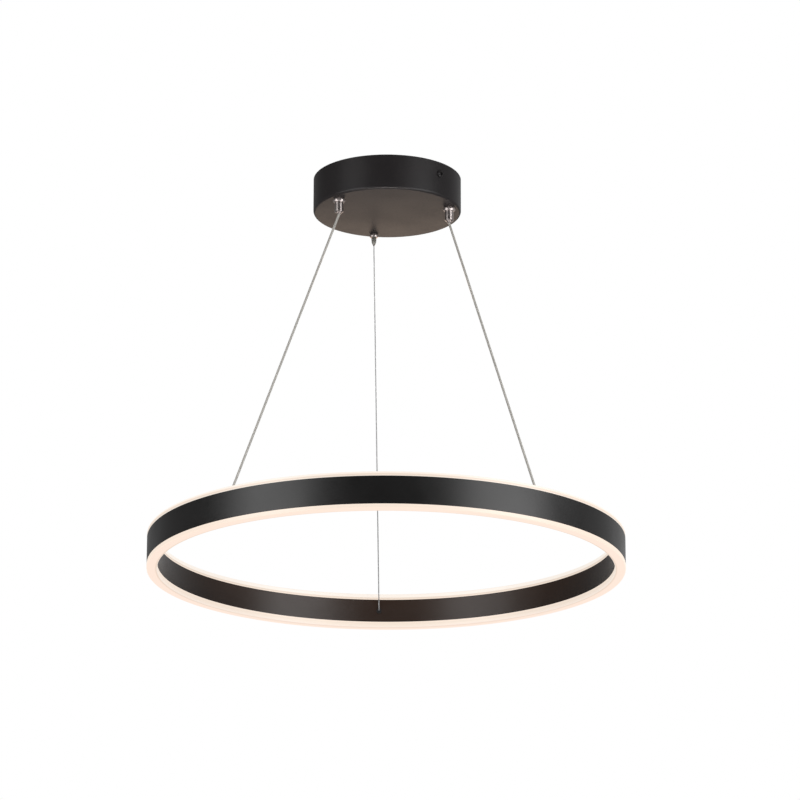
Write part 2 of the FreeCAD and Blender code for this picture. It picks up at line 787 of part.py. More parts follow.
def make_driver_case():
    case = block(-driver_x, driver_x, driver_front, driver_back, driver_floor,
                 driver_top - driver_cover_thickness)
    hollow = block(-driver_x + driver_wall, driver_x - driver_wall, driver_front + driver_wall,
                   driver_back - driver_wall, driver_floor + driver_wall, driver_top)
    case = case.cut(hollow)
    ear = driver_ear_width / 2
    for side in (-1, 1):
        low, high = sorted((side * (driver_x - driver_wall), side * (driver_x + driver_ear_length)))
        tab = block(low, high, driver_offset_y - ear, driver_offset_y + ear, driver_floor,
                    driver_floor + driver_ear_thickness)
        foot = V(side * stud_x, driver_offset_y, driver_floor - cut_overrun)
        head = V(side * stud_x, driver_offset_y, driver_floor + driver_ear_thickness + cut_overrun)
        hole = rod(stud_radius + wire_clearance, foot, head)
        case = case.fuse(tab).cut(hole)
    for name in lead_exits:
        hole = rod(lead_radius + running_clearance, lead_point(name, cut_overrun),
                   lead_point(name, -driver_wall - cut_overrun))
        case = case.cut(hole)
    return case.removeSplitter()


lead_exits = {
    "live": (-driver_x, driver_offset_y + driver_width / 5),
    "neutral": (-driver_x, driver_offset_y - driver_width / 5),
    "positive": (driver_x, driver_offset_y - driver_width / 5),
    "negative": (driver_x, driver_offset_y + driver_width / 5),
}
board_top = driver_floor + driver_wall + board_stand_height + board_thickness
lead_exit_z = board_top + lead_radius


def lead_point(name, out):
    """Point on a lead where it leaves the driver; out is measured from the case's end."""
    x, y = lead_exits[name]
    return V(x + out * math.copysign(1, x), y, lead_exit_z)


def lead_out(name):
    """First two points of a lead: on the board, and outside the case."""
    return [lead_point(name, -driver_wall - lead_pad_length), lead_point(name, lead_exit_length)]


def make_board():
    inset = driver_wall + assembly_gap
    board = block(-driver_x + inset, driver_x - inset, driver_front + inset, driver_back - inset,
                  board_top - board_thickness, board_top)
    posts = []
    for x in (-1, 1):
        for y in (-1, 1):
            place = V(x * (driver_x - 3 * inset), driver_offset_y + y * (driver_width / 2 - 3 * inset), 0)
            posts.append(rod(board_thickness, place + V(0, 0, driver_floor + driver_wall),
                             place + V(0, 0, board_top)))
    return board.fuse(posts).removeSplitter()


def upright(radius, height, x, y):
    """Round component that stands on the board."""
    return rod(radius, V(x, y, board_top), V(x, y, board_top + height))


def make_capacitors():
    places = ((-0.34, 0.22), (-0.34, -0.22), (0.36, 0.22))
    return Part.makeCompound([
        upright(capacitor_radius, capacitor_height, x * driver_length, driver_offset_y + y * driver_width)
        for x, y in places])


def make_power_chips():
    chips = []
    for x_share in (-0.2, 0.2, 0.3):
        x, y = x_share * driver_length, driver_offset_y - 0.3 * driver_width
        chips.append(block(x - power_chip_length / 2, x + power_chip_length / 2, y - power_chip_width / 2,
                           y + power_chip_width / 2, board_top, board_top + power_chip_height))
    return Part.makeCompound(chips)


def make_transformer():
    half = transformer_size / 2
    core = block(-half, half, driver_offset_y - half, driver_offset_y + half, board_top,
                 board_top + transformer_height)
    winding = rod(half * 0.7, V(-half * 1.3, driver_offset_y, board_top + transformer_height / 2),
                  V(half * 1.3, driver_offset_y, board_top + transformer_height / 2))
    above_board = block(-half * 2, half * 2, driver_front, driver_back, board_top, driver_top)
    return core.fuse(winding.common(above_board))


parts["driver_case"] = make_driver_case()
parts["driver_cover"] = block(-driver_x, driver_x, driver_front, driver_back,
                              driver_top - driver_cover_thickness, driver_top)
parts["driver_board"] = make_board()
parts["driver_transformer"] = make_transformer()
parts["driver_capacitors"] = make_capacitors()
parts["driver_power_chips"] = make_power_chips()


# Supply terminal block, with a foot for its stud

terminal_low = floor_z
terminal_top = floor_z + terminal_height
terminal_left = terminal_centre_x - terminal_length / 2
terminal_right = terminal_centre_x + terminal_length / 2
terminal_back = terminal_centre_y + terminal_width / 2
terminal_front = terminal_centre_y - terminal_width / 2
terminal_stud_x = terminal_right + terminal_foot_length / 2
pole_xs = [terminal_centre_x + step * terminal_screw_pitch_x for step in (-1, 0, 1)]
terminal_wire_z = floor_z + terminal_wire_height


def terminal_screw_places():
    ys = (terminal_centre_y - terminal_screw_pitch_y / 2, terminal_centre_y + terminal_screw_pitch_y / 2)
    return [(x, y) for x in pole_xs for y in ys]


def make_terminal():
    body = block(terminal_left, terminal_right, terminal_front, terminal_back, terminal_low, terminal_top)
    foot_half = terminal_foot_length / 2
    foot = block(terminal_right - terminal_foot_thickness, terminal_right + terminal_foot_length,
                 terminal_centre_y - foot_half, terminal_centre_y + foot_half, terminal_low,
                 terminal_low + terminal_foot_thickness)
    body = body.fuse(foot)
    for x, y in terminal_screw_places():
        low = terminal_top - terminal_screw_sink_depth - terminal_screw_depth
        body = body.cut(rod(terminal_screw_radius + running_clearance, V(x, y, low),
                            V(x, y, terminal_top + cut_overrun)))
    for x in pole_xs:
        front = V(x, terminal_front - cut_overrun, terminal_wire_z)
        back = V(x, terminal_back + cut_overrun, terminal_wire_z)
        body = body.cut(rod(lead_radius + wire_clearance, front, back))
    foot_hole = rod(stud_radius + wire_clearance,
                    V(terminal_stud_x, terminal_centre_y, terminal_low - cut_overrun),
                    V(terminal_stud_x, terminal_centre_y, terminal_top))
    return body.cut(foot_hole).removeSplitter()


def make_terminal_screws():
    screws = []
    for x, y in terminal_screw_places():
        top = terminal_top - terminal_screw_sink_depth
        screw = rod(terminal_screw_radius, V(x, y, top - terminal_screw_depth), V(x, y, top))
        half = terminal_screw_slot_width / 2
        slot = block(x - half, x + half, y - 2 * terminal_screw_radius, y + 2 * terminal_screw_radius,
                     top - terminal_screw_slot_width, terminal_top)
        screws.append(screw.cut(slot))
    return Part.makeCompound(screws)


parts["supply_terminal_block"] = make_terminal()
parts["terminal_block_screws"] = make_terminal_screws()


# Welded studs on the canopy's floor and the nuts on them

stud_seats = [
    (-stud_x, driver_offset_y, driver_ear_thickness),
    (stud_x, driver_offset_y, driver_ear_thickness),
    (terminal_stud_x, terminal_centre_y, terminal_foot_thickness),
    (earth_stud_x, earth_stud_y, earth_tag_thickness),
]
parts["canopy_weld_studs"] = Part.makeCompound(
    [rod(stud_radius, V(x, y, floor_z), V(x, y, floor_z + stud_height)) for x, y, seat in stud_seats])
parts["canopy_stud_nuts"] = Part.makeCompound(
    [at(nut(stud_nut_flats_width, stud_nut_height, stud_radius + running_clearance), x, y, floor_z + seat)
     for x, y, seat in stud_seats])


# Leads in the canopy, each from its terminal to its end

def into_pole(pole, away):
    """Last two points of a lead: behind the terminal block, and inside it."""
    x = pole_xs[pole]
    return [V(x, terminal_back + away, terminal_wire_z), V(x, terminal_centre_y, terminal_wire_z)]


parts["driver_live_lead"] = tube("driver_live_lead", lead_out("live") + [
    inside(-0.75, 0.10, 0.18), inside(-0.80, -0.08, 0.20), inside(-0.70, -0.24, 0.20),
    inside(-0.50, -0.30, 0.20), inside(-0.27, -0.27, 0.18), inside(-0.06, -0.255, 0.16),
] + into_pole(1, terminal_width / 3), lead_radius)
parts["driver_neutral_lead"] = tube("driver_neutral_lead", lead_out("neutral") + [
    inside(-0.72, -0.05, 0.20), inside(-0.70, -0.16, 0.22), inside(-0.57, -0.215, 0.24),
    inside(-0.36, -0.19, 0.24), inside(-0.12, -0.18, 0.22), inside(0.10, -0.21, 0.19),
] + into_pole(2, terminal_width / 2), lead_radius)


def make_earth_lead():
    """Lead with a ring tag that lies on the canopy's floor under the earth nut."""
    x, y, low = earth_stud_x, earth_stud_y, floor_z
    tag = rod(earth_tag_radius, V(x, y, low), V(x, y, low + earth_tag_thickness))
    tongue = block(x - lead_radius, x + lead_radius, y, y + earth_tongue_length, low,
                   low + earth_tag_thickness)
    hole = rod(stud_radius + wire_clearance, V(x, y, low - cut_overrun), V(x, y, low + stud_height))
    start = V(x, y + earth_tongue_length - lead_radius, low + lead_radius)
    lead = tube("earth_lead", [
        start, inside(-0.255, -0.44, 0.06), inside(-0.20, -0.35, 0.10), inside(-0.10, -0.32, 0.12),
    ] + into_pole(0, terminal_width / 5), lead_radius)
    return tag.fuse([tongue, lead]).cut(hole).removeSplitter()


parts["earth_lead"] = make_earth_lead()

right_gripper_place = polar(gripper_azimuths["right"], gripper_circle_radius, floor_z)
to_positive_crimp = V(-positive_crimp_aside, positive_crimp_advance, positive_crimp_height)
to_negative_crimp = V(0, negative_crimp_advance, negative_crimp_height)
crimp_places = {
    "positive": right_gripper_place + to_positive_crimp,
    "negative": right_gripper_place + to_negative_crimp,
}


def crimp_end(name, side, out=0):
    """Point on a crimp's axis, out from its face; side is -1 for the front and 1 for the back."""
    return crimp_places[name] + V(0, side * (output_crimp_length / 2 + out), 0)


def make_crimp(name):
    sleeve = rod(output_crimp_radius, crimp_end(name, -1), crimp_end(name, 1))
    for side, radius in ((-1, power_cable_radius), (1, lead_radius)):
        bore = rod(radius + running_clearance, crimp_end(name, side, -output_crimp_depth),
                   crimp_end(name, side, cut_overrun))
        sleeve = sleeve.cut(bore)
    return sleeve


def into_crimp(name, side, away=crimp_approach_length):
    """Last two points of a lead: before its crimp, and inside it."""
    return [crimp_end(name, side, away), crimp_end(name, side, -output_crimp_depth)]


parts["output_crimps"] = Part.makeCompound([make_crimp(name) for name in crimp_places])
parts["driver_positive_lead"] = tube(
    "driver_positive_lead", lead_out("positive") + into_crimp("positive", 1, crimp_approach_length * 1.6),
    lead_radius)
parts["driver_negative_lead"] = tube("driver_negative_lead", lead_out("negative") + [
    inside(0.71, 0.23, 0.26), inside(0.80, 0.22, 0.40)] + into_crimp("negative", 1), lead_radius)


# Tails of the lines, up through the grippers and into the canopy

def tail_points(name):
    """First two points of a tail: under its gripper's nose, and above its stud."""
    azimuth, gripper = gripper_azimuths[name], grippers[name]
    low = polar(azimuth, gripper_circle_radius, underside_z + gripper.line_start)
    high = polar(azimuth, gripper_circle_radius, underside_z + gripper.top + tail_rise_height)
    return [low, high]


right_tail = tail_points("right")
rise_to_crimp = crimp_places["negative"].z - right_tail[1].z
right_turn = right_tail[1] + V(0, rise_to_crimp, rise_to_crimp)
parts["left_cable_tail"] = tube("left_cable_tail", tail_points("left") + [
    inside(-0.47, -0.69, 0.44), inside(-0.20, -0.76, 0.36), inside(0.14, -0.74, 0.29),
    inside(0.44, -0.64, 0.25), inside(0.64, -0.46, 0.25)] + into_crimp("positive", -1), power_cable_radius)
parts["right_cable_tail"] = tube(
    "right_cable_tail", right_tail + [right_turn, crimp_end("negative", -1, -output_crimp_depth)],
    power_cable_radius)
rear_tail = tail_points("rear")
rear_bend = rear_tail[1] + V(tail_rise_height, 0, tail_rise_height / 2)
rear_end = rear_tail[1] + V(2.8 * tail_rise_height, -tail_rise_height / 2, tail_rise_height / 3)
parts["rear_wire_tail"] = tube("rear_wire_tail", rear_tail + [rear_bend, rear_end], rear_wire_radius)


os.makedirs("parts", exist_ok=True)
for name, shape in parts.items():
    if not shape.isValid():
        print("not valid:", name)
    shape.exportStep("parts/" + name + ".step")
print(len(parts), "nodes,", sum(len(shape.Solids) for shape in parts.values()), "solids")
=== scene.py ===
"""Looks for an LED ring pendant light: a satin black ring that shines up and down, three taut
lines, push-release grippers and a round ceiling canopy."""

import bpy
import numpy as np
from mathutils import Matrix, Vector


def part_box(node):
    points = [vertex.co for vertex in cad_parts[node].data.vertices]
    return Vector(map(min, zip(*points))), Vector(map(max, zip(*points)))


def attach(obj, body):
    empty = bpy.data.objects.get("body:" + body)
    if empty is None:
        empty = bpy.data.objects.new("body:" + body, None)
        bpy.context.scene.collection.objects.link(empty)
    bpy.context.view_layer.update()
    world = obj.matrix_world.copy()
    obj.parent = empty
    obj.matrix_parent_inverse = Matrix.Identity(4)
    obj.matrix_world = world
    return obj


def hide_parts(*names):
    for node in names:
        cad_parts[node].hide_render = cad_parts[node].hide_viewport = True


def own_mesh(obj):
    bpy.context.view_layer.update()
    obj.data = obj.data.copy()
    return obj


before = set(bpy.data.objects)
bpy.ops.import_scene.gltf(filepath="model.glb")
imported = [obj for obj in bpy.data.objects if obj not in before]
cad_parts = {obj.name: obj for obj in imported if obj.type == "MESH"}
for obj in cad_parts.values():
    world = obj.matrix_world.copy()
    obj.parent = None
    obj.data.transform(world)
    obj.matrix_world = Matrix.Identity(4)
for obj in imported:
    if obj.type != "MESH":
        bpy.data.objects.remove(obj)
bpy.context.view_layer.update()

bl_info = {
    "name": "LED ring pendant looks",
    "version": (1, 0, 0),
    "blender": (4, 5, 0),
    "location": "3D View > Sidebar > Pendant",
    "description": "Builds the visible surfaces, finishes and studio of a ring pendant light",
    "category": "Object",
}

MM = 0.001
SIDES = ("left", "right", "rear")

# Clearances where a piece sits on another, where it slides into one, and at a nut's ends
SEAT_GAP = 0.03 * MM
SLIDE_GAP = 0.1 * MM
NUT_GAP = 0.02 * MM

# Steps in a full turn of each surface of revolution, and points on each rounded corner
CANOPY_STEPS, CANOPY_CORNER = 288, 10
RING_STEPS, RING_CORNER = 480, 5
CHANNEL_STEPS, CHANNEL_CORNER = 240, 3
DIFFUSER_CORNER = 9
BARREL_STEPS, BARREL_CORNER = 96, 4
NUT_STEPS = 144

# A nut's chamfer starts at this share of its flats, and falls this steeply
NUT_CROWN, NUT_SLOPE = 0.9, 1.8
# Angle in degrees over which a nut's edge stays sharp and is bevelled
NUT_EDGE_ANGLE = 14.0

# Share of the way round a diffuser's section that each of its sides takes
SIDE_SHARE = 0.25

# A line turns towards its bush over this many radii, and ends this far inside it
TURN_RADII = 12
BUSH_DEPTH = 2 * MM
# Points on each part of a line's fine route, and the distance between those that are kept
ROUTE_STEPS = 1024
LINE_STEP = 0.8 * MM
# Points round a power cable, and round each strand of the steel wire
CABLE_SIDES, WIRE_SIDES = 16, 6
# The steel wire has this many strands round a middle one, each a third as thick as the wire
WIRE_STRANDS, STRAND_SHARE = 6, 1 / 3

# How far the camera sees, in metres
VIEW_REACH = 50.0

# Lamps: name, shape, place, target and size in metres, power in watts, colour
LAMPS = (
    ("soft_box_left", "RECTANGLE", (-1.15, -0.92, -0.4), (0, 0, -0.4), (0.95, 1.4), 15.0, "#FFFFFF"),
    ("soft_box_right", "RECTANGLE", (0.95, -0.74, -0.4), (0, 0, -0.4), (0.85, 1.35), 14.5, "#FFFFFF"),
    ("warm_bounce", "RECTANGLE", (0, 0.17, -0.09), (0, 0.03, -0.045), (0.24, 0.06), 0.058, "#FFDFC4"),
    ("ring_glow", "DISK", (0, 0, -0.39), (0, 0, -1.0), (0.5, 0.5), 0.55, "#FFA866"),
    ("rim_light", "RECTANGLE", (0, -0.25, -0.47), (0, -0.095, -0.06), (0.3, 0.02), 1.8, "#FFF6F0"),
)

# How reflections see the surround: low and high value, and the part of a direction's axis over which
# it runs from one to the other
SURROUND_REAR = (0.0, 1.0, -0.5, 1.0)
SURROUND_LEVEL = (0.06, 0.9, 0.0, 1.0)
SURROUND_FACTORS = (
    ("X", 0.45, 0.95, -0.35, 0.35),
    ("Z", 0.35, 1.0, -0.25, 0.2),
    ("Z", 1.0, 0.6, 0.27, 0.37),
)
# How they see the floor: the same four numbers along Y, and by the distance from the pendant's foot
FLOOR_DEPTH = (0.03, 0.32, 0.5, 6.2)
FLOOR_POOL = (0.5, 0.0, 0.6, 2.6)
# Light that the floor adds to its own white for the camera, and the size of the clouds in its paint
FLOOR_LIFT = 0.45
FLOOR_CLOUD_MM = 400.0


# Colour and small vector helpers

def linear(colour):
    """An sRGB hex colour as linear values: ((c + 0.055) / 1.055) ** 2.4 above 0.04045."""
    srgb = np.array([int(colour[i:i + 2], 16) for i in (1, 3, 5)]) / 255
    return tuple(np.where(srgb > 0.04045, ((srgb + 0.055) / 1.055) ** 2.4, srgb / 12.92))


def opaque(colour):
    """A hex colour or a linear triple, as the four numbers that a colour socket takes."""
    return (*(linear(colour) if isinstance(colour, str) else colour), 1.0)


def unit(vectors):
    """Vectors divided by their own length."""
    return vectors / np.linalg.norm(vectors, axis=-1, keepdims=True)


def polar(azimuth, radius, height):
    """Point from an azimuth in degrees, counted from the front towards +X: (r sin a, -r cos a, z)."""
    a = np.radians(azimuth)
    return np.array([radius * np.sin(a), -radius * np.cos(a), height])


def box_centre(node):
    """Middle of a CAD node's box."""
    low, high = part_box(node)
    return np.array((low + high) / 2)


def ring_section(ring):
    """Outer and inner radius, middle height and half height of the ring's profile."""
    low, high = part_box("ring_profile")
    return high.x, high.x - ring.width, (low.z + high.z) / 2, (high.z - low.z) / 2


# Surfaces

def rounded(corners, radius, steps):
    """Closed outline with round corners, and its normals.

    Each corner gives way to an arc that touches both of its sides. The arc's centre is the tangent
    point plus radius times the side's normal, and its points are centre + radius (cos t, sin t)."""
    corner = np.array(corners, float)
    radius = np.broadcast_to(np.asarray(radius, float), len(corner))[:, None]
    into = unit(corner - np.roll(corner, 1, 0))
    out = unit(np.roll(corner, -1, 0) - corner)
    turn = np.arctan2(into[:, 0] * out[:, 1] - into[:, 1] * out[:, 0], (into * out).sum(1))[:, None]
    start = corner - into * radius * np.abs(np.tan(turn / 2))
    side = np.stack([-into[:, 1], into[:, 0]], 1) * np.sign(turn)
    centre = start + side * radius
    t = np.arctan2(-side[:, 1:], -side[:, :1]) + turn * np.linspace(0, 1, steps)
    ray = np.stack([np.cos(t), np.sin(t)], 2)
    points = centre[:, None] + radius[:, None] * ray
    return points.reshape(-1, 2), (ray * np.sign(turn)[:, None]).reshape(-1, 2)


def revolve(outline, normals, azimuths, centre=(0, 0, 0)):
    """Surface of revolution: (r sin a, -r cos a, z) for each azimuth a and each outline point (r, z)."""
    a = np.radians(azimuths)[:, None]

    def spin(p):
        return np.stack([p[:, 0] * np.sin(a), -p[:, 0] * np.cos(a), p[:, 1] + 0 * a], 2)

    return spin(outline) + np.array(centre), spin(normals)


def full_turn(steps):
    """Evenly spaced azimuths round a full turn, without the last one."""
    return np.linspace(0, 360, steps, endpoint=False)


def quads(rows, columns, wrap_rows):
    """Corner numbers of a grid's four-sided faces. Its columns close on themselves, and its rows may."""
    i = np.arange(rows if wrap_rows else rows - 1)[:, None]
    j = np.arange(columns)[None, :]
    k, l = (i + 1) % rows, (j + 1) % columns
    corners = [i * columns + j, i * columns + l, k * columns + l, k * columns + j]
    return np.stack(np.broadcast_arrays(*corners), 2).reshape(-1, 4)


def surface(points, normals=None, wrap_rows=True, hollow=False):
    """One closed surface from a grid of points, as corner points, normals and faces.

    Its faces are turned so that the enclosed volume, the sum of a . (b x c) / 6 over triangles, is
    positive, or negative for a hollow inside another surface. Rows that don't close on themselves get
    a cap at each end."""
    rows, columns = points.shape[:2]
    faces = quads(rows, columns, wrap_rows)
    flat = points.reshape(-1, 3)
    a, b, c, d = (flat[faces[:, i]] - flat.mean(0) for i in range(4))
    volume = (np.cross(a, b) * c + np.cross(a, c) * d).sum()
    lists = faces.tolist()
    if not wrap_rows:
        lists += [list(range(columns))[::-1], list(range((rows - 1) * columns, rows * columns))]
    if (volume < 0) != hollow:
        lists = [face[::-1] for face in lists]
    return flat, None if normals is None else normals.reshape(-1, 3), lists


def piece(name, surfaces, body, material, stands_for, bevel=0.0):
    """Puts closed surfaces into one mesh object that rides on a body, in place of a CAD node.

    With normals for every surface the shading follows them, and otherwise sharp edges stay sharp. The
    bevel, in metres, rounds those."""
    points, lists, shift = [], [], 0
    for flat, _, faces in surfaces:
        points.append(flat)
        lists += [[corner + shift for corner in face] for face in faces]
        shift += len(flat)
    mesh = bpy.data.meshes.new(name)
    mesh.from_pydata(np.concatenate(points).tolist(), [], lists)
    mesh.polygons.foreach_set("use_smooth", np.ones(len(lists), bool))
    if all(normals is not None for _, normals, _ in surfaces):
        mesh.normals_split_custom_set_from_vertices(np.concatenate([n for _, n, _ in surfaces]).tolist())
    else:
        mesh.set_sharp_from_angle(angle=np.radians(NUT_EDGE_ANGLE))
    mesh.materials.append(material)
    item = bpy.data.objects.new(name, mesh)
    bpy.context.scene.collection.objects.link(item)
    if bevel:
        rounding = item.modifiers.new("edge rounding", "BEVEL")
        rounding.width = bevel
        rounding.segments = 2
        rounding.limit_method = "ANGLE"
        rounding.angle_limit = np.radians(NUT_EDGE_ANGLE)
        rounding.harden_normals = True
    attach(item, body)
    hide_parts(stands_for)
    return item


def light_alone(lamp, item):
    """Lets one of the studio's lamps light one piece alone."""
    receivers = bpy.data.collections.new(lamp + " receivers")
    receivers.objects.link(item)
    bpy.data.objects[lamp].light_linking.receiver_collection = receivers


def dress(material, *nodes):
    """Gives CAD nodes that are shown as they are their finish."""
    for node in nodes:
        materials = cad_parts[node].data.materials
        materials.clear()
        materials.append(material)


# Shader helpers

def add(tree, kind, inputs=None, **settings):
    """Adds a node, sets its settings, and fills its inputs with values or other nodes' outputs."""
    made = tree.nodes.new(kind)
    for key, value in settings.items():
        setattr(made, key, value)
    for key, value in (inputs or {}).items():
        if isinstance(value, bpy.types.NodeSocket):
            tree.links.new(value, made.inputs[key])
        else:
            made.inputs[key].default_value = value
    return made


def blank(name):
    """New material with an empty tree, and its output."""
    material = bpy.data.materials.new(name)
    material.use_nodes = True
    material.node_tree.nodes.clear()
    return material, material.node_tree, add(material.node_tree, "ShaderNodeOutputMaterial")


def noise(tree, grain_mm, detail=3.0, stretch=(1, 1, 1)):
    """Noise on Object coordinates with features of about grain_mm, longer where stretch is over 1."""
    place = add(tree, "ShaderNodeTexCoord").outputs["Object"]
    scale = [1 / (grain_mm * MM * s) for s in stretch]
    place = add(tree, "ShaderNodeMapping", {"Vector": place, "Scale": scale}).outputs["Vector"]
    inputs = {"Vector": place, "Scale": 1.0, "Detail": detail}
    return add(tree, "ShaderNodeTexNoise", inputs).outputs["Fac"]


def between(tree, factor, low, high, from_low, from_high):
    """Number that runs from low to high as the factor runs from from_low to from_high."""
    inputs = {"Value": factor, "From Min": from_low, "From Max": from_high, "To Min": low,
              "To Max": high}
    return add(tree, "ShaderNodeMapRange", inputs).outputs["Result"]


def mix(tree, factor, first, second):
    """Colour between two hex colours. The node's sockets go by number, because its names repeat."""
    inputs = {0: factor, 6: opaque(first), 7: opaque(second)}
    return add(tree, "ShaderNodeMix", inputs, data_type="RGBA").outputs[2]


def calculate(tree, operation, first, second=0.0):
    """Result of one arithmetic step."""
    return add(tree, "ShaderNodeMath", {0: first, 1: second}, operation=operation).outputs[0]


def blend(tree, factor, first, second):
    """Shader between the shaders of two nodes."""
    return add(tree, "ShaderNodeMixShader", {0: factor, 1: first.outputs[0], 2: second.outputs[0]})


def bump(tree, height, depth_mm):
    """Surface normal from a height of 0 to 1 that stands for depth_mm."""
    return add(tree, "ShaderNodeBump", {"Height": height, "Distance": depth_mm * MM}).outputs["Normal"]


def rays_that_mirror(tree, rays):
    """1 for the rays of reflections and of clear material, and 0 for the others."""
    glossy, clear = rays.outputs["Is Glossy Ray"], rays.outputs["Is Transmission Ray"]
    return calculate(tree, "MAXIMUM", glossy, clear)


def finish(name, tones, rough, grain_mm, depth_mm, patch_mm, stretch=(1, 1, 1), **sockets):
    """Material with a fine grain in its surface and a slow drift in its colour and gloss.

    tones are two hex colours and rough two roughnesses; both drift over patch_mm, as the sum of the
    two noises runs from 0.75 to 1.25. The grain is as fine as grain_mm and depth_mm deep. The other
    values go straight to the shader's sockets."""
    material, tree, output = blank(name)
    grain = noise(tree, grain_mm, stretch=stretch)
    patch = noise(tree, patch_mm, 2.0)
    drift = between(tree, calculate(tree, "ADD", grain, patch), 0.0, 1.0, 0.75, 1.25)
    inputs = {"Base Color": mix(tree, drift, *tones), "Normal": bump(tree, grain, depth_mm),
              "Roughness": between(tree, drift, *rough, 0.0, 1.0)}
    inputs.update({key.replace("_", " "): value for key, value in sockets.items()})
    shader = add(tree, "ShaderNodeBsdfPrincipled", inputs)
    tree.links.new(shader.outputs[0], output.inputs["Surface"])
    return material


# Metals and paints

def powder_coat(name, tones, rough, ior):
    """Epoxy-polyester powder coat, sprayed and baked: satin, with a soft orange peel of about 1.5 mm."""
    return finish(name, tones, rough, 1.5, 0.012, 60.0, IOR=ior)


def nickel_plate(name, tones, rough):
    """Nickel plate on turned metal: soft streaks of light, a little warm, over fine turning marks."""
    return finish(name, tones, rough, 0.35, 0.0008, 16.0, stretch=(8, 8, 1), Metallic=1.0)


def zinc_plate():
    """Pressed mild steel, zinc plated: pale, slightly blue, with a soft rolled grain."""
    return finish("pressed steel, zinc plated", ("#9EA3A6", "#C3C8CA"), (0.28, 0.42), 1.2, 0.006, 14.0,
                  stretch=(4, 4, 1), Metallic=1.0)


def drawn_steel():
    """Drawn spring wire and hardened balls: bright and smooth."""
    return finish("drawn spring steel", ("#8D8E90", "#B4B5B7"), (0.16, 0.26), 0.4, 0.002, 4.0,
                  Metallic=1.0)


def galvanised_wire():
    """Drawn steel wires under a dull zinc coat: pale grey, with little mirror in it."""
    return finish("drawn steel wires, galvanised", ("#9E9E9F", "#B8B8B9"), (0.36, 0.46), 0.4, 0.001, 4.0,
                  Metallic=0.55)


def turned_brass():
    """Turned free-cutting brass, uncoated: yellow, with fine tool marks."""
    return finish("turned brass", ("#B08D4C", "#D0AE6A"), (0.2, 0.32), 0.3, 0.004, 5.0,
                  stretch=(6, 6, 1), Metallic=1.0)


def tinned_copper():
    """Pressed copper tube, tinned: soft grey with small dents from the crimping tool."""
    return finish("pressed copper, tinned", ("#A8A49C", "#C9C6BF"), (0.3, 0.45), 0.9, 0.02, 5.0,
                  Metallic=1.0)


# Plastics

def moulded(name, tones, rough=(0.45, 0.6), grain_mm=0.8):
    """Injection-moulded plastic with the fine spark-eroded grain of its tool."""
    return finish(name, tones, rough, grain_mm, 0.01, 30.0, IOR=1.49)


def pvc(name, tones):
    """Extruded PVC insulation: soft gloss, slightly uneven along its length."""
    return finish(name, tones, (0.32, 0.45), 2.5, 0.02, 12.0, IOR=1.52)


def pvc_earth():
    """Extruded PVC in green with a yellow stripe at a pitch of about 3 mm.

    The wave texture repeats every 2 pi / (20 scale)."""
    green, yellow, pitch = "#2F7D32", "#E3C21C", 3.1416 * MM
    material = pvc("extruded PVC, green and yellow", (green, "#358A38"))
    tree = material.node_tree
    shader = next(n for n in tree.nodes if n.type == "BSDF_PRINCIPLED")
    place = add(tree, "ShaderNodeTexCoord").outputs["Object"]
    inputs = {"Vector": place, "Scale": 2 * np.pi / (20 * pitch)}
    wave = add(tree, "ShaderNodeTexWave", inputs).outputs["Fac"]
    stripe = between(tree, wave, 0.0, 1.0, 0.55, 0.65)
    tree.links.new(mix(tree, stripe, green, yellow), shader.inputs["Base Color"])
    return material


def opal_acrylic(name, glow, stops):
    """Extruded opal acrylic, lit from inside: cream beside the walls, with a beige line round it.

    Its skin is wavy over about 3 mm. The attribute round runs from 0 at the inner wall, over the lit
    face, to 1 at the outer wall. The tones are what the eye is shown, so the light that the opal
    reflects is taken off its own light."""
    material, tree, output = blank(name)
    place = add(tree, "ShaderNodeAttribute", attribute_name="round").outputs["Fac"]
    ramp = add(tree, "ShaderNodeValToRGB", {"Fac": place})
    for number, (share, tone) in enumerate(stops):
        stop = ramp.color_ramp.elements.new(share) if number > 1 else ramp.color_ramp.elements[number]
        stop.position = share
        stop.color = opaque(tuple(np.clip(np.array(tone) - np.array(glow.reflected), 0, 1)))
    inputs = {"Base Color": opaque("#7A695D"), "Roughness": 0.42, "IOR": 1.49,
              "Emission Color": ramp.outputs[0], "Emission Strength": 1.0,
              "Normal": bump(tree, noise(tree, 3.0, 2.0), 0.004)}
    shader = add(tree, "ShaderNodeBsdfPrincipled", inputs)
    tree.links.new(shader.outputs[0], output.inputs["Surface"])
    return material


def phosphor():
    """Phosphor-filled silicone over a light chip, lit: pale yellow."""
    return finish("phosphor silicone, lit", ("#F2DD8C", "#F7E7A6"), (0.3, 0.4), 0.6, 0.004, 3.0,
                  Emission_Color=opaque("#FFE9C8"), Emission_Strength=0.6)


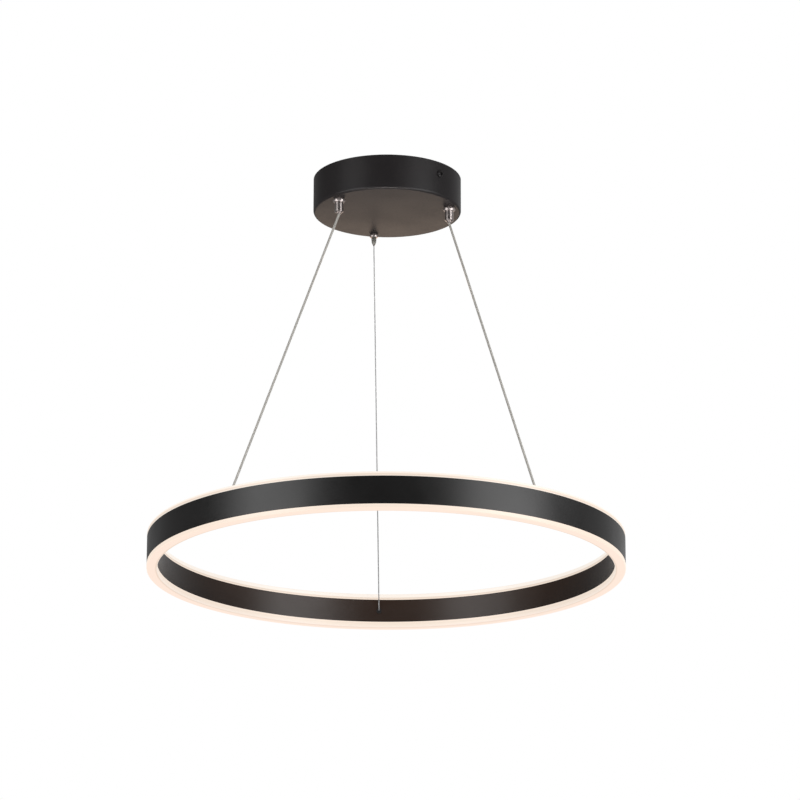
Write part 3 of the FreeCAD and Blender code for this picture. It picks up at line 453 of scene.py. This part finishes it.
def clear_pvc(diameter):
    """Extruded clear PVC over seven copper strands: paler crowns as painted highlight, darker valleys as
    painted shade, and a clear gloss.

    The UV map runs in metres along the cable and from 0 to 1 round it. A strand's crown is where
    sin(2 pi (count v + u / lay)) is 1, and it stands out by a share of the diameter."""
    tones, rough = ("#8E8B86", "#B2AFA9"), (0.35, 0.25)
    lay, count, crown_share = 14.0 * MM, 7, 0.04
    material, tree, output = blank("extruded clear PVC over copper strand")
    place = add(tree, "ShaderNodeUVMap", uv_map="along").outputs["UV"]
    parts = add(tree, "ShaderNodeSeparateXYZ", {"Vector": place})
    laid = calculate(tree, "MULTIPLY", parts.outputs["X"], 1 / lay)
    around = calculate(tree, "MULTIPLY", parts.outputs["Y"], float(count))
    turns = calculate(tree, "MULTIPLY", calculate(tree, "ADD", laid, around), 2 * np.pi)
    crown = between(tree, calculate(tree, "SINE", turns), 0.0, 1.0, -1.0, 1.0)
    # The base colour runs from the dark tone in the valleys to the pale one on the crowns: painted shade
    # between the strands and painted highlight on them.
    inputs = {"Base Color": mix(tree, crown, *tones), "Coat Weight": 1.0,
              "Roughness": between(tree, crown, *rough, 0.0, 1.0), "Coat Roughness": 0.12,
              "Normal": bump(tree, crown, diameter * crown_share / MM)}
    shader = add(tree, "ShaderNodeBsdfPrincipled", inputs)
    tree.links.new(shader.outputs[0], output.inputs["Surface"])
    return material


# Settings

def length(name, value_mm, description):
    """Length property with its default in millimetres."""
    return bpy.props.FloatProperty(name=name, description=description, default=value_mm * MM,
                                   unit="LENGTH", precision=5)


def angle(name, degrees, description):
    """Angle property with its default in degrees."""
    return bpy.props.FloatProperty(name=name, description=description, default=np.radians(degrees),
                                   subtype="ANGLE")


def fraction(name, value, description):
    """Property for a share from 0 to 1."""
    return bpy.props.FloatProperty(name=name, description=description, default=value,
                                   subtype="FACTOR", min=0.0, max=1.0)


def tint(name, hex_colour, description):
    """Colour property with its default as an sRGB hex value."""
    return bpy.props.FloatVectorProperty(name=name, description=description, default=linear(hex_colour),
                                         subtype="COLOR", min=0.0, max=1.0)


class PendantCanopySettings(bpy.types.PropertyGroup):
    """Sizes of the canopy's shell."""
    wall: length("Wall", 1.0, "Thickness of the drawn steel cup")
    edge_radius: length("Edge radius", 3.0, "Outside radius of the cup's lower edge")
    rim_radius: length("Rim radius", 0.3, "Rounding of the cup's upper rim")
    centre_radius: length("Centre radius", 0.2, "Where the cup's floor ends at its middle")
    centre_rounding: length("Centre rounding", 0.05, "Rounding of that end")


class PendantRingSettings(bpy.types.PropertyGroup):
    """Sizes of the ring's profile."""
    width: length("Width", 13.5, "From the inner wall to the outer one")
    inner_height: length("Inner wall height", 30.0, "Height of the profile's inner wall")
    wall: length("Wall", 1.4, "Thickness of both walls")
    web: length("Web", 1.2, "Thickness of both webs")
    channel: length("Channel height", 12.0, "Height of the wiring channel between the webs")
    channel_radius: length("Channel radius", 0.2, "Rounding of the channel's corners")
    edge_radius: length("Edge radius", 0.35, "Rounding of the walls' edges")
    seam_azimuth: angle("Seam azimuth", 150.0, "Where the rolled profile's ends meet")
    seam_floor: length("Seam floor", 0.06, "Half the width of the seam's floor")
    seam_reach: length("Seam reach", 0.3, "Half the width of the seam's groove")
    seam_depth: length("Seam depth", 0.12, "Depth of the seam's groove")


class PendantGlowSettings(bpy.types.PropertyGroup):
    """Light, colour and sizes of the diffusers."""
    wall_colour: tint("Wall colour", "#EFE1D4", "Light beside the ring's walls")
    side_colour: tint("Side colour", "#E9DCCE", "Light on a diffuser's sides")
    face_colour: tint("Face colour", "#FEE8D9", "Light on the lower diffuser's face")
    fade_colour: tint("Fade colour", "#F2E6DC", "Light beside the lower diffuser's corners")
    line_colour: tint("Line colour", "#EAD6C4", "Light at the thin line round the lower diffuser")
    upper_colour: tint("Upper colour", "#F2ECE4", "Light on the upper diffuser's face")
    upper_line_colour: tint("Upper line colour", "#DACBBD", "Light at its thin lines")
    upper_side_colour: tint("Upper side colour", "#EFEAE2", "Light on its outer side")
    upper_wall_colour: tint("Upper wall colour", "#FDF9F3", "Light on it beside the ring's outer wall")
    reflected: tint("Reflected", "#635C56", "Studio light that the opal reflects")
    cap: length("Cap thickness", 2.0, "Thickness of a diffuser's lit face")
    leg: length("Leg thickness", 1.2, "Thickness of a diffuser's legs")
    leg_end: length("Leg end", 10.6, "Height of the legs' ends from the ring's middle")
    corner_radius: length("Corner radius", 1.5, "Rounding of a diffuser's outer corners")
    edge_radius: length("Edge radius", 0.15, "Rounding of its other corners")


class PendantGripperSettings(bpy.types.PropertyGroup):
    """Sizes of the cable grippers."""
    power_stud: length("Power stud radius", 5.0, "Thread of a power gripper")
    power_nose: length("Power nose chamfer", 1.4, "Chamfer at a power gripper's nose")
    power_nose_length: length("Power nose length", 1.3, "Height of that chamfer")
    power_swell: fraction("Power swell", 0.4, "Roundness of a power gripper's nose")
    power_flats: length("Power nut flats", 14.4, "Width across flats of a power gripper's nut")
    power_bevel: length("Power nut bevel", 0.18, "Rounding of that nut's edges")
    rear_stud: length("Rear stud radius", 3.0, "Thread of the rear gripper")
    rear_nose: length("Rear nose chamfer", 1.3, "Taper at the rear gripper's nose")
    rear_nose_length: length("Rear nose length", 6.0, "Height of that taper")
    rear_swell: fraction("Rear swell", 0.72, "Roundness of the rear gripper's nose")
    rear_flats: length("Rear nut flats", 10.8, "Width across flats of the rear gripper's nut")
    rear_bevel: length("Rear nut bevel", 0.12, "Rounding of that nut's edges")
    swell_height: fraction("Swell height", 0.4, "Where a nose swells most, as a share of its height")
    guide_share: fraction("Guide share", 0.72, "Plunger's shaft as a share of its flange")
    edge_radius: length("Edge radius", 0.2, "Rounding of turned edges")


class PendantLineSettings(bpy.types.PropertyGroup):
    """Sizes and places of the three lines."""
    power_radius: length("Power cable radius", 1.5, "Radius of a power cable's clear jacket")
    rear_radius: length("Rear wire radius", 0.75, "Radius of the stranded steel wire")
    rear_lay: length("Rear wire lay", 8.4, "Length over which its strands turn once round it")
    left_azimuth: angle("Left azimuth", -43.3, "Left end on the ring")
    right_azimuth: angle("Right azimuth", 41.1, "Right end on the ring")
    rear_azimuth: angle("Rear azimuth", -178.13, "Rear end on the ring")
    bush_thickness: length("Bush thickness", 1.03, "How far a bush stands out from the inner wall")


class PendantStudioSettings(bpy.types.PropertyGroup):
    """Camera and light of the studio."""
    lens: bpy.props.FloatProperty(name="Lens", description="Focal length", default=184.7, unit="CAMERA")
    distance: length("Distance", 4979.35, "From the pendant's axis to the camera, level")
    below: length("Below", 1830.5, "From the ceiling down to the camera")
    pitch: angle("Pitch", 17.12, "Upward tilt of the camera")
    yaw: angle("Yaw", 0.195, "Turn of the camera towards +X")
    roll: angle("Roll", 0.097, "Roll of the camera")
    floor: length("Floor", 2350.0, "From the ceiling down to the floor")
    extent: length("Extent", 40000.0, "From the pendant's axis to the floor's edges")
    ambient: fraction("Ambient", 0.55, "Even light from all round")


# Operators

class PENDANT_OT_canopy(bpy.types.Operator):
    """Builds the canopy's shell and finishes the bracket and the fasteners"""
    bl_idname = "pendant.canopy"
    bl_label = "Canopy"

    def execute(self, context):
        """A cup of revolution with a drawn lower edge and a rounded rim."""
        sizes = context.scene.pendant_canopy
        low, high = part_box("canopy_shell")
        outer, inner, floor = high.x, high.x - sizes.wall, low.z + sizes.wall
        centre, fine, edge = sizes.centre_radius, sizes.centre_rounding, sizes.edge_radius
        corners = [(centre, low.z), (outer, low.z), (outer, high.z), (inner, high.z), (inner, floor),
                   (centre, floor)]
        radii = [fine, edge, sizes.rim_radius, sizes.rim_radius, edge - sizes.wall, fine]
        shell = surface(*revolve(*rounded(corners, radii, CANOPY_CORNER), full_turn(CANOPY_STEPS)))
        paint = powder_coat("drawn steel, matt black powder coat", ("#171516", "#1D1A1B"),
                            (0.4, 0.48), 1.36)
        cup = piece("canopy_shell_skin", [shell], "canopy", paint, "canopy_shell")
        light_alone("rim_light", cup)
        dress(paint, "canopy_side_screws")
        dress(zinc_plate(), "ceiling_bracket", "canopy_weld_studs", "canopy_stud_nuts",
              "power_gripper_lock_nuts", "rear_gripper_lock_nut")
        return {"FINISHED"}


def nut(centre, flats, low, high, bore):
    """Hexagon nut with chamfered ends and a flat at the front.

    The hexagon is r(a) = (flats / 2) / cos(a - nearest flat's middle). Its chamfer meets it where the
    cone z = end + NUT_SLOPE (r - start) passes, which gives the scalloped line on each flat."""
    azimuths = full_turn(NUT_STEPS)
    flat = (azimuths + 30) % 60 - 30
    hexagon = flats / 2 / np.cos(np.radians(flat))
    start = flats / 2 * NUT_CROWN
    fall = NUT_SLOPE * (hexagon - start)
    radius = np.stack(np.broadcast_arrays(bore, start, hexagon, hexagon, start, bore), 1)
    height = np.stack(np.broadcast_arrays(low, low, low + fall, high - fall, high, high), 1)
    a = np.radians(azimuths)[:, None]
    points = np.stack([radius * np.sin(a) + centre[0], centre[1] - radius * np.cos(a), height], 2)
    return surface(points)


class PENDANT_OT_grippers(bpy.types.Operator):
    """Builds the grippers' barrels and nuts and finishes what is inside them"""
    bl_idname = "pendant.grippers"
    bl_label = "Cable grippers"

    def execute(self, context):
        """Turned barrels of revolution, and hexagon nuts against the canopy."""
        sizes = context.scene.pendant_grippers
        nickel = nickel_plate("turned brass, satin nickel plate", ("#C6BBB8", "#D4CBC8"), (0.27, 0.31))
        satin = nickel_plate("pressed brass, satin nickel plate", ("#C6BBB8", "#D4CBC8"), (0.42, 0.46))
        # The rear gripper's barrel gets a copy of the nickel plate that is darker and rougher than the
        # power grippers'.
        dull = nickel_plate("turned steel, nickel plate, darker", ("#83817B", "#908E88"), (0.44, 0.5))
        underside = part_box("canopy_shell")[0].z
        nuts = {"power": [], "rear": []}
        collars = {"power": "power_gripper_collar_nuts", "rear": "rear_gripper_collar_nut"}
        for side in SIDES:
            kind = "rear" if side == "rear" else "power"
            stud, nose, nose_length, swell, flats = (
                getattr(sizes, kind + part)
                for part in ("_stud", "_nose", "_nose_length", "_swell", "_flats"))
            node = side + "_gripper_body"
            low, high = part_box(node)
            x, y, _ = box_centre(node)
            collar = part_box(collars[kind])[0].z
            barrel = (high.x - low.x) / 2
            plunger_low, plunger_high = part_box(side + "_gripper_plunger")
            guide = (plunger_high.x - plunger_low.x) / 2 * sizes.guide_share + SLIDE_GAP
            corners = [(guide, low.z), (barrel - nose, low.z),
                       (barrel - nose * (1 - swell), low.z + sizes.swell_height * nose_length),
                       (barrel, low.z + nose_length), (barrel, collar), (stud, collar), (stud, high.z),
                       (guide, high.z)]
            outline = rounded(corners, sizes.edge_radius, BARREL_CORNER)
            turned = surface(*revolve(*outline, full_turn(BARREL_STEPS), (x, y, 0)))
            plate = dull if kind == "rear" else nickel
            piece(side + "_gripper_barrel", [turned], "canopy", plate, node)
            nuts[kind].append(nut((x, y), flats, collar + NUT_GAP, underside - NUT_GAP, stud))
        for kind, name in (("power", "power_collar_nuts"), ("rear", "rear_collar_nut")):
            bevel = getattr(sizes, kind + "_bevel")
            piece(name, nuts[kind], "canopy", satin, collars[kind], bevel)
        dress(nickel, *[side + "_gripper_plunger" for side in SIDES])
        dress(drawn_steel(), *[f"{side}_gripper_{part}" for side in SIDES
                               for part in ("balls", "spring")])
        for side in SIDES:
            spring = side + "_gripper_spring"
            low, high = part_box(spring)
            x, y, _ = box_centre(spring)
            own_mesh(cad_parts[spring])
        dress(turned_brass(), "power_gripper_caps", "rear_gripper_cap")
        return {"FINISHED"}


class PENDANT_OT_ring(bpy.types.Operator):
    """Builds the ring's profile and finishes what it carries"""
    bl_idname = "pendant.ring"
    bl_label = "Ring"

    def execute(self, context):
        """The profile's section carried round, with its wiring channel and the seam at its ends."""
        sizes = context.scene.pendant_ring
        outer, inner, middle, tall = ring_section(sizes)
        short, channel = sizes.inner_height / 2, sizes.channel / 2
        web = channel + sizes.web
        near, far = inner + sizes.wall, outer - sizes.wall
        corners = np.array([(inner, -short), (near, -short), (near, -web), (far, -web), (far, -tall),
                            (outer, -tall), (outer, tall), (far, tall), (far, web), (near, web),
                            (near, short), (inner, short)])
        hole = np.array([(near, -channel), (far, -channel), (far, channel), (near, channel)])
        drop = np.array([0, middle])
        aside = np.array([-sizes.seam_reach, -sizes.seam_floor, sizes.seam_floor, sizes.seam_reach])
        seam = np.degrees(sizes.seam_azimuth + aside / outer)
        azimuths = np.sort(np.concatenate([full_turn(RING_STEPS), seam]))
        points, directions = revolve(*rounded(corners + drop, sizes.edge_radius, RING_CORNER), azimuths)
        at_seam = np.isin(azimuths, seam[1:3])[:, None, None]
        points = points - directions * sizes.seam_depth * at_seam
        profile = surface(points, directions)
        outline = rounded(hole + drop, sizes.channel_radius, CHANNEL_CORNER)
        points, directions = revolve(*outline, full_turn(CHANNEL_STEPS))
        hollow = surface(points, -directions, hollow=True)
        paint = powder_coat("rolled aluminium, satin black powder coat", ("#0F0E0E", "#141313"),
                            (0.34, 0.42), 1.45)
        skin = piece("ring_profile_skin", [profile, hollow], "ring", paint, "ring_profile")
        light_alone("ring_glow", skin)
        dress(moulded("moulded nylon, black", ("#121111", "#191717")), "line_entry_bushes")
        dress(zinc_plate(), "ring_joint_plate", "ring_joint_screws", "rear_wire_ferrule")
        dress(tinned_copper(), "power_cable_ferrules")
        return {"FINISHED"}


class PENDANT_OT_light(bpy.types.Operator):
    """Builds the two diffusers and finishes the light strips"""
    bl_idname = "pendant.light"
    bl_label = "Diffusers and light strips"

    def execute(self, context):
        """Channel-shaped section carried round, above and below, with tones for where it shows."""
        glow, ring = context.scene.pendant_glow, context.scene.pendant_ring
        outer, inner, middle, tall = ring_section(ring)
        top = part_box("upper_diffuser")[1].z - middle
        near, far = inner + ring.wall + SLIDE_GAP, outer - ring.wall - SLIDE_GAP
        roof, end, leg = top - glow.cap, glow.leg_end, glow.leg
        seat_in, seat_out = ring.inner_height / 2 + SEAT_GAP, tall + SEAT_GAP
        corners = np.array([(outer, seat_out), (outer, top), (inner, top), (inner, seat_in),
                            (near, seat_in), (near, end), (near + leg, end), (near + leg, roof),
                            (far - leg, roof), (far - leg, end), (far, end), (far, seat_out)])
        # The second and third corners are those of the lit face
        radii = np.full(len(corners), glow.edge_radius)
        radii[1:3] = glow.corner_radius
        wall, side, face = glow.wall_colour, glow.side_colour, glow.face_colour
        upper, upper_line = glow.upper_colour, glow.upper_line_colour
        # Where round the section, from the inner wall to the outer one, each tone is reached
        lower_stops = ((0.0, wall), (0.10, side), (0.25, glow.fade_colour), (0.31, glow.line_colour),
                       (0.38, face), (0.74, face), (0.80, side), (1.0, wall))
        upper_stops = ((0.0, wall), (0.025, side), (0.065, upper_line), (0.11, upper), (0.80, upper),
                       (0.87, upper_line), (0.94, glow.upper_side_colour), (1.0, glow.upper_wall_colour))
        for end_name, sign, stops in (("upper", 1, upper_stops), ("lower", -1, lower_stops)):
            name = end_name + "_diffuser"
            acrylic = opal_acrylic("extruded opal acrylic, lit, " + end_name, glow, stops)
            outline, normals = rounded(corners, radii, DIFFUSER_CORNER)
            across = (outline[:, 0] - inner) / ring.width
            height = (top - outline[:, 1]) / (top - seat_in)
            fall = SIDE_SHARE * np.clip(height, 0, 1)
            round_face = SIDE_SHARE + (1 - 2 * SIDE_SHARE) * across
            values = round_face + np.where(across < 0.5, -fall, fall)
            outline = outline * (1, sign) + (0, middle)
            points, directions = revolve(outline, normals * (1, sign), full_turn(RING_STEPS))
            item = piece(name + "_skin", [surface(points, directions)], "ring", acrylic, name)
            values = np.broadcast_to(values, points.shape[:2]).ravel()
            item.data.attributes.new("round", "FLOAT", "POINT").data.foreach_set("value", values)
        dress(moulded("solder-masked aluminium strip, white", ("#E4E1DA", "#EFEDE8"), (0.3, 0.4)),
              "upper_led_strip", "lower_led_strip")
        dress(phosphor(), "upper_led_chips", "lower_led_chips")
        return {"FINISHED"}


def route_line(name, points):
    """Points along a NURBS spline of order 3 that has the route's points as its control points."""
    curve = bpy.data.curves.new(name + "_route", "CURVE")
    curve.dimensions = "3D"
    curve.resolution_u = ROUTE_STEPS
    spline = curve.splines.new("NURBS")
    spline.points.add(len(points) - 1)
    spline.points.foreach_set("co", np.column_stack([points, np.ones(len(points))]).ravel())
    spline.order_u = 3
    spline.use_endpoint_u = True
    holder = bpy.data.objects.new(name + "_route", curve)
    mesh = bpy.data.meshes.new_from_object(holder)
    line = np.array([v.co for v in mesh.vertices])
    bpy.data.objects.remove(holder)
    bpy.data.curves.remove(curve)
    bpy.data.meshes.remove(mesh)
    return line


def even_points(line):
    """Those of a line's points that lie about LINE_STEP apart, and how far along it each one is."""
    run = np.concatenate([[0], np.cumsum(np.linalg.norm(np.diff(line, axis=0), axis=1))])
    pick = np.unique(np.searchsorted(run, np.arange(0, run[-1], LINE_STEP)))
    return line[pick], run[pick]


def tube(line, along, radius, sides, offset=0.0, lay=None, phase=0.0):
    """Round tube along a line, or a strand that winds round it.

    With n and b square to the line, the centre is line + offset (cos w n + sin w b) with
    w = phase + 2 pi along / lay, and the skin is centre + radius (cos t n + sin t b)."""
    way = unit(np.gradient(line, axis=0))
    side = unit(np.cross(way, (0.0, 0.0, 1.0)))
    other = np.cross(way, side)
    if lay:
        w = (phase + 2 * np.pi * along / lay)[:, None]
        line = line + offset * (np.cos(w) * side + np.sin(w) * other)
    t = np.linspace(0, 2 * np.pi, sides, endpoint=False)[None, :, None]
    normals = np.cos(t) * side[:, None] + np.sin(t) * other[:, None]
    return surface(line[:, None] + radius * normals, normals, wrap_rows=False)


def add_uv(item, along, sides):
    """Gives a single tube a UV map with metres along the line and 0 to 1 round it."""
    mesh = item.data
    corners = np.zeros(len(mesh.loops), int)
    mesh.loops.foreach_get("vertex_index", corners)
    u, v = along[corners // sides], (corners % sides) / sides
    mesh.uv_layers.new(name="along").data.foreach_set("uv", np.column_stack([u, v]).ravel())


class PENDANT_OT_lines(bpy.types.Operator):
    """Builds the two power cables and the steel wire, and finishes their tails and ends"""
    bl_idname = "pendant.lines"
    bl_label = "Suspension lines"

    def execute(self, context):
        """Each line is straight from its gripper's nose, and turns into its bush at its end."""
        sizes = context.scene.pendant_lines
        _, inner, middle, _ = ring_section(context.scene.pendant_ring)
        bush = inner - sizes.bush_thickness
        nodes = {"left": "left_power_cable", "right": "right_power_cable", "rear": "rear_steel_wire"}
        jacket = clear_pvc(2 * sizes.power_radius)
        for side in SIDES:
            radius = sizes.rear_radius if side == "rear" else sizes.power_radius
            azimuth = np.degrees(getattr(sizes, side + "_azimuth"))
            x, y, _ = box_centre(side + "_gripper_body")
            top = np.array([x, y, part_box(nodes[side])[1].z])
            face, inside = polar(azimuth, bush, middle), polar(azimuth, bush + BUSH_DEPTH, middle)
            before = face + unit(top - face) * TURN_RADII * radius
            line, along = even_points(route_line(side, [top, before, face, inside]))
            if side == "rear":
                fine = radius * STRAND_SHARE
                phases = 2 * np.pi * np.arange(WIRE_STRANDS) / WIRE_STRANDS
                strands = [tube(line, along, fine, WIRE_SIDES, 2 * fine, sizes.rear_lay, phase)
                           for phase in phases]
                item = piece("rear_steel_wire_strands", strands + [tube(line, along, fine, WIRE_SIDES)],
                             "canopy", galvanised_wire(), nodes[side])
            else:
                item = piece(side + "_power_cable_jacket", [tube(line, along, radius, CABLE_SIDES)],
                             "canopy", jacket, nodes[side])
                add_uv(item, along, CABLE_SIDES)
            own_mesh(item)
        dress(drawn_steel(), "rear_wire_tail", "rear_wire_end")
        dress(pvc("extruded clear PVC, tail", ("#9C9893", "#BBB7B1")), "left_cable_tail",
              "right_cable_tail", "power_cable_ends")
        return {"FINISHED"}


class PENDANT_OT_driver(bpy.types.Operator):
    """Finishes the driver, the terminal block and the leads in the canopy"""
    bl_idname = "pendant.driver"
    bl_label = "Driver and leads"

    def execute(self, context):
        """Each CAD node gets the finish of its own material."""
        dress(moulded("moulded polycarbonate, white", ("#D9D8D2", "#E4E3DE")), "driver_case",
              "driver_cover")
        dress(moulded("glass epoxy board, green", ("#145A32", "#1B6B3D"), (0.25, 0.35), 1.5),
              "driver_board")
        dress(moulded("ferrite core, taped", ("#26221C", "#332D22")), "driver_transformer")
        dress(moulded("shrink sleeve, blue-black", ("#141A2C", "#1B2238"), (0.25, 0.35)),
              "driver_capacitors")
        dress(moulded("moulded epoxy, black", ("#121212", "#1A1A1A")), "driver_power_chips")
        dress(moulded("moulded polyamide, natural", ("#D8D3C4", "#E6E2D6")), "supply_terminal_block")
        dress(zinc_plate(), "terminal_block_screws")
        dress(tinned_copper(), "output_crimps")
        dress(pvc("extruded PVC, brown", ("#5A3219", "#663A1E")), "driver_live_lead")
        dress(pvc("extruded PVC, blue", ("#1D4E9E", "#2459AE")), "driver_neutral_lead")
        dress(pvc_earth(), "earth_lead")
        dress(pvc("extruded PVC, red", ("#A3211B", "#B12A23")), "driver_positive_lead",
              "left_feed_lead")
        dress(pvc("extruded PVC, black", ("#161616", "#1E1E1E")), "driver_negative_lead",
              "right_feed_lead")
        return {"FINISHED"}


def aim(item, target):
    """Turns an object's -Z axis towards a point."""
    direction = np.array(target) - np.array(item.location)
    item.rotation_euler = Vector(direction).to_track_quat("-Z", "Y").to_euler()


class PENDANT_OT_studio(bpy.types.Operator):
    """Sets up the camera, the lamps, the world and the floor"""
    bl_idname = "pendant.studio"
    bl_label = "Studio"

    def execute(self, context):
        """A long lens from below, two tall soft boxes at the sides, and a white surround."""
        scene, studio = context.scene, context.scene.pendant_studio
        scene.view_settings.view_transform = "Standard"
        camera = bpy.data.cameras.new("camera")
        camera.lens = studio.lens
        camera.clip_end = VIEW_REACH
        eye = bpy.data.objects.new("camera", camera)
        scene.collection.objects.link(eye)
        scene.camera = eye
        sin, cos = np.sin, np.cos
        pitch, yaw, roll = studio.pitch, studio.yaw, studio.roll
        forward = np.array([sin(yaw) * cos(pitch), cos(yaw) * cos(pitch), sin(pitch)])
        level = np.array([cos(yaw), -sin(yaw), 0])
        upright = np.cross(level, forward)
        right = level * cos(roll) + upright * sin(roll)
        up = upright * cos(roll) - level * sin(roll)
        place = np.eye(4)
        place[:3, 0], place[:3, 1], place[:3, 2] = right, up, -forward
        place[:3, 3] = (0, -studio.distance, -studio.below)
        eye.matrix_world = Matrix(place.tolist())
        for name, shape, location, target, size, power, colour in LAMPS:
            lamp = bpy.data.lights.new(name, "AREA")
            lamp.shape, lamp.energy, lamp.color = shape, power, linear(colour)
            lamp.size, lamp.size_y = size
            item = bpy.data.objects.new(name, lamp)
            item.location = location
            scene.collection.objects.link(item)
            aim(item, target)
            item.visible_camera = False
        world = bpy.data.worlds.new("white studio")
        scene.world = world
        world.use_nodes = True
        tree = world.node_tree
        tree.nodes.clear()
        rays = add(tree, "ShaderNodeLightPath")
        way = add(tree, "ShaderNodeTexCoord").outputs["Generated"]
        axes = add(tree, "ShaderNodeSeparateXYZ", {"Vector": way}).outputs
        rear = calculate(tree, "POWER", between(tree, axes["Y"], *SURROUND_REAR), 2.0)
        reflected = between(tree, rear, *SURROUND_LEVEL)
        for axis, *values in SURROUND_FACTORS:
            reflected = calculate(tree, "MULTIPLY", reflected, between(tree, axes[axis], *values))
        seen, mirrored, even = (
            add(tree, "ShaderNodeBackground", {"Color": opaque("#FFFFFF"), "Strength": strength})
            for strength in (1.0, reflected, studio.ambient))
        whole = blend(tree, rays_that_mirror(tree, rays), even, mirrored)
        whole = blend(tree, rays.outputs["Is Camera Ray"], whole, seen)
        add(tree, "ShaderNodeOutputWorld", {"Surface": whole.outputs[0]})
        corners = [(x * studio.extent, y * studio.extent, -studio.floor)
                   for x, y in ((-1, -1), (1, -1), (1, 1), (-1, 1))]
        mesh = bpy.data.meshes.new("floor")
        mesh.from_pydata(corners, [], [(0, 1, 2, 3)])
        floor = bpy.data.objects.new("floor", mesh)
        scene.collection.objects.link(floor)
        mesh.materials.append(self.floor_paint(studio.floor))
        return {"FINISHED"}

    def floor_paint(self, drop):
        """Matt white paint that shows pale to the camera and in reflections, and keeps a soft shadow.

        Reflections see it lighter towards the back, and in a pool of light under the pendant. Its
        underside is clear, so that the pendant can be seen from far below."""
        material, tree, output = blank("matt white floor paint")
        rays = add(tree, "ShaderNodeLightPath")
        cloud = noise(tree, FLOOR_CLOUD_MM)
        matt = add(tree, "ShaderNodeBsdfDiffuse", {"Color": mix(tree, cloud, "#EFEFEF", "#F4F4F4")})
        lift = add(tree, "ShaderNodeEmission", {"Strength": FLOOR_LIFT})
        both = add(tree, "ShaderNodeAddShader", {0: matt.outputs[0], 1: lift.outputs[0]})
        place = add(tree, "ShaderNodeTexCoord").outputs["Object"]
        depth = add(tree, "ShaderNodeSeparateXYZ", {"Vector": place}).outputs["Y"]
        away = add(tree, "ShaderNodeVectorMath", {0: place, 1: (0, 0, -drop)}, operation="DISTANCE")
        pool = between(tree, away.outputs["Value"], *FLOOR_POOL)
        level = calculate(tree, "MAXIMUM", between(tree, depth, *FLOOR_DEPTH), pool)
        graded = add(tree, "ShaderNodeEmission", {"Strength": level})
        pick = blend(tree, rays.outputs["Is Camera Ray"], matt, both)
        pick = blend(tree, rays_that_mirror(tree, rays), pick, graded)
        under = add(tree, "ShaderNodeNewGeometry").outputs["Backfacing"]
        pick = blend(tree, under, pick, add(tree, "ShaderNodeBsdfTransparent"))
        tree.links.new(pick.outputs[0], output.inputs["Surface"])
        return material


class PENDANT_PT_sidebar(bpy.types.Panel):
    """Lists the pendant's building steps and settings"""
    bl_label = "Pendant light"
    bl_idname = "PENDANT_PT_sidebar"
    bl_space_type = "VIEW_3D"
    bl_region_type = "UI"
    bl_category = "Pendant"

    def draw(self, context):
        """One button for each step, and the settings of each group under it."""
        for operator, group in STEPS:
            box = self.layout.box()
            box.operator(operator.bl_idname)
            if group:
                settings = getattr(context.scene, group)
                for key in settings.__annotations__:
                    box.prop(settings, key)


GROUPS = {
    "pendant_canopy": PendantCanopySettings,
    "pendant_ring": PendantRingSettings,
    "pendant_glow": PendantGlowSettings,
    "pendant_grippers": PendantGripperSettings,
    "pendant_lines": PendantLineSettings,
    "pendant_studio": PendantStudioSettings,
}
STEPS = (
    (PENDANT_OT_studio, "pendant_studio"),
    (PENDANT_OT_lines, "pendant_lines"),
    (PENDANT_OT_canopy, "pendant_canopy"),
    (PENDANT_OT_grippers, "pendant_grippers"),
    (PENDANT_OT_ring, "pendant_ring"),
    (PENDANT_OT_light, "pendant_glow"),
    (PENDANT_OT_driver, None),
)
CLASSES = (*GROUPS.values(), *[operator for operator, _ in STEPS], PENDANT_PT_sidebar)


def register():
    """Registers the classes and hangs the settings on the scene."""
    for item in CLASSES:
        bpy.utils.register_class(item)
    for name, group in GROUPS.items():
        setattr(bpy.types.Scene, name, bpy.props.PointerProperty(type=group))


def unregister():
    """Takes the settings and the classes away again."""
    for name in GROUPS:
        delattr(bpy.types.Scene, name)
    for item in reversed(CLASSES):
        bpy.utils.unregister_class(item)


def main():
    """Builds the camera and the lines first, then the rest."""
    register()
    for operator, _ in STEPS:
        group, name = operator.bl_idname.split(".")
        getattr(getattr(bpy.ops, group), name)()


if __name__ == "__main__":
    main()
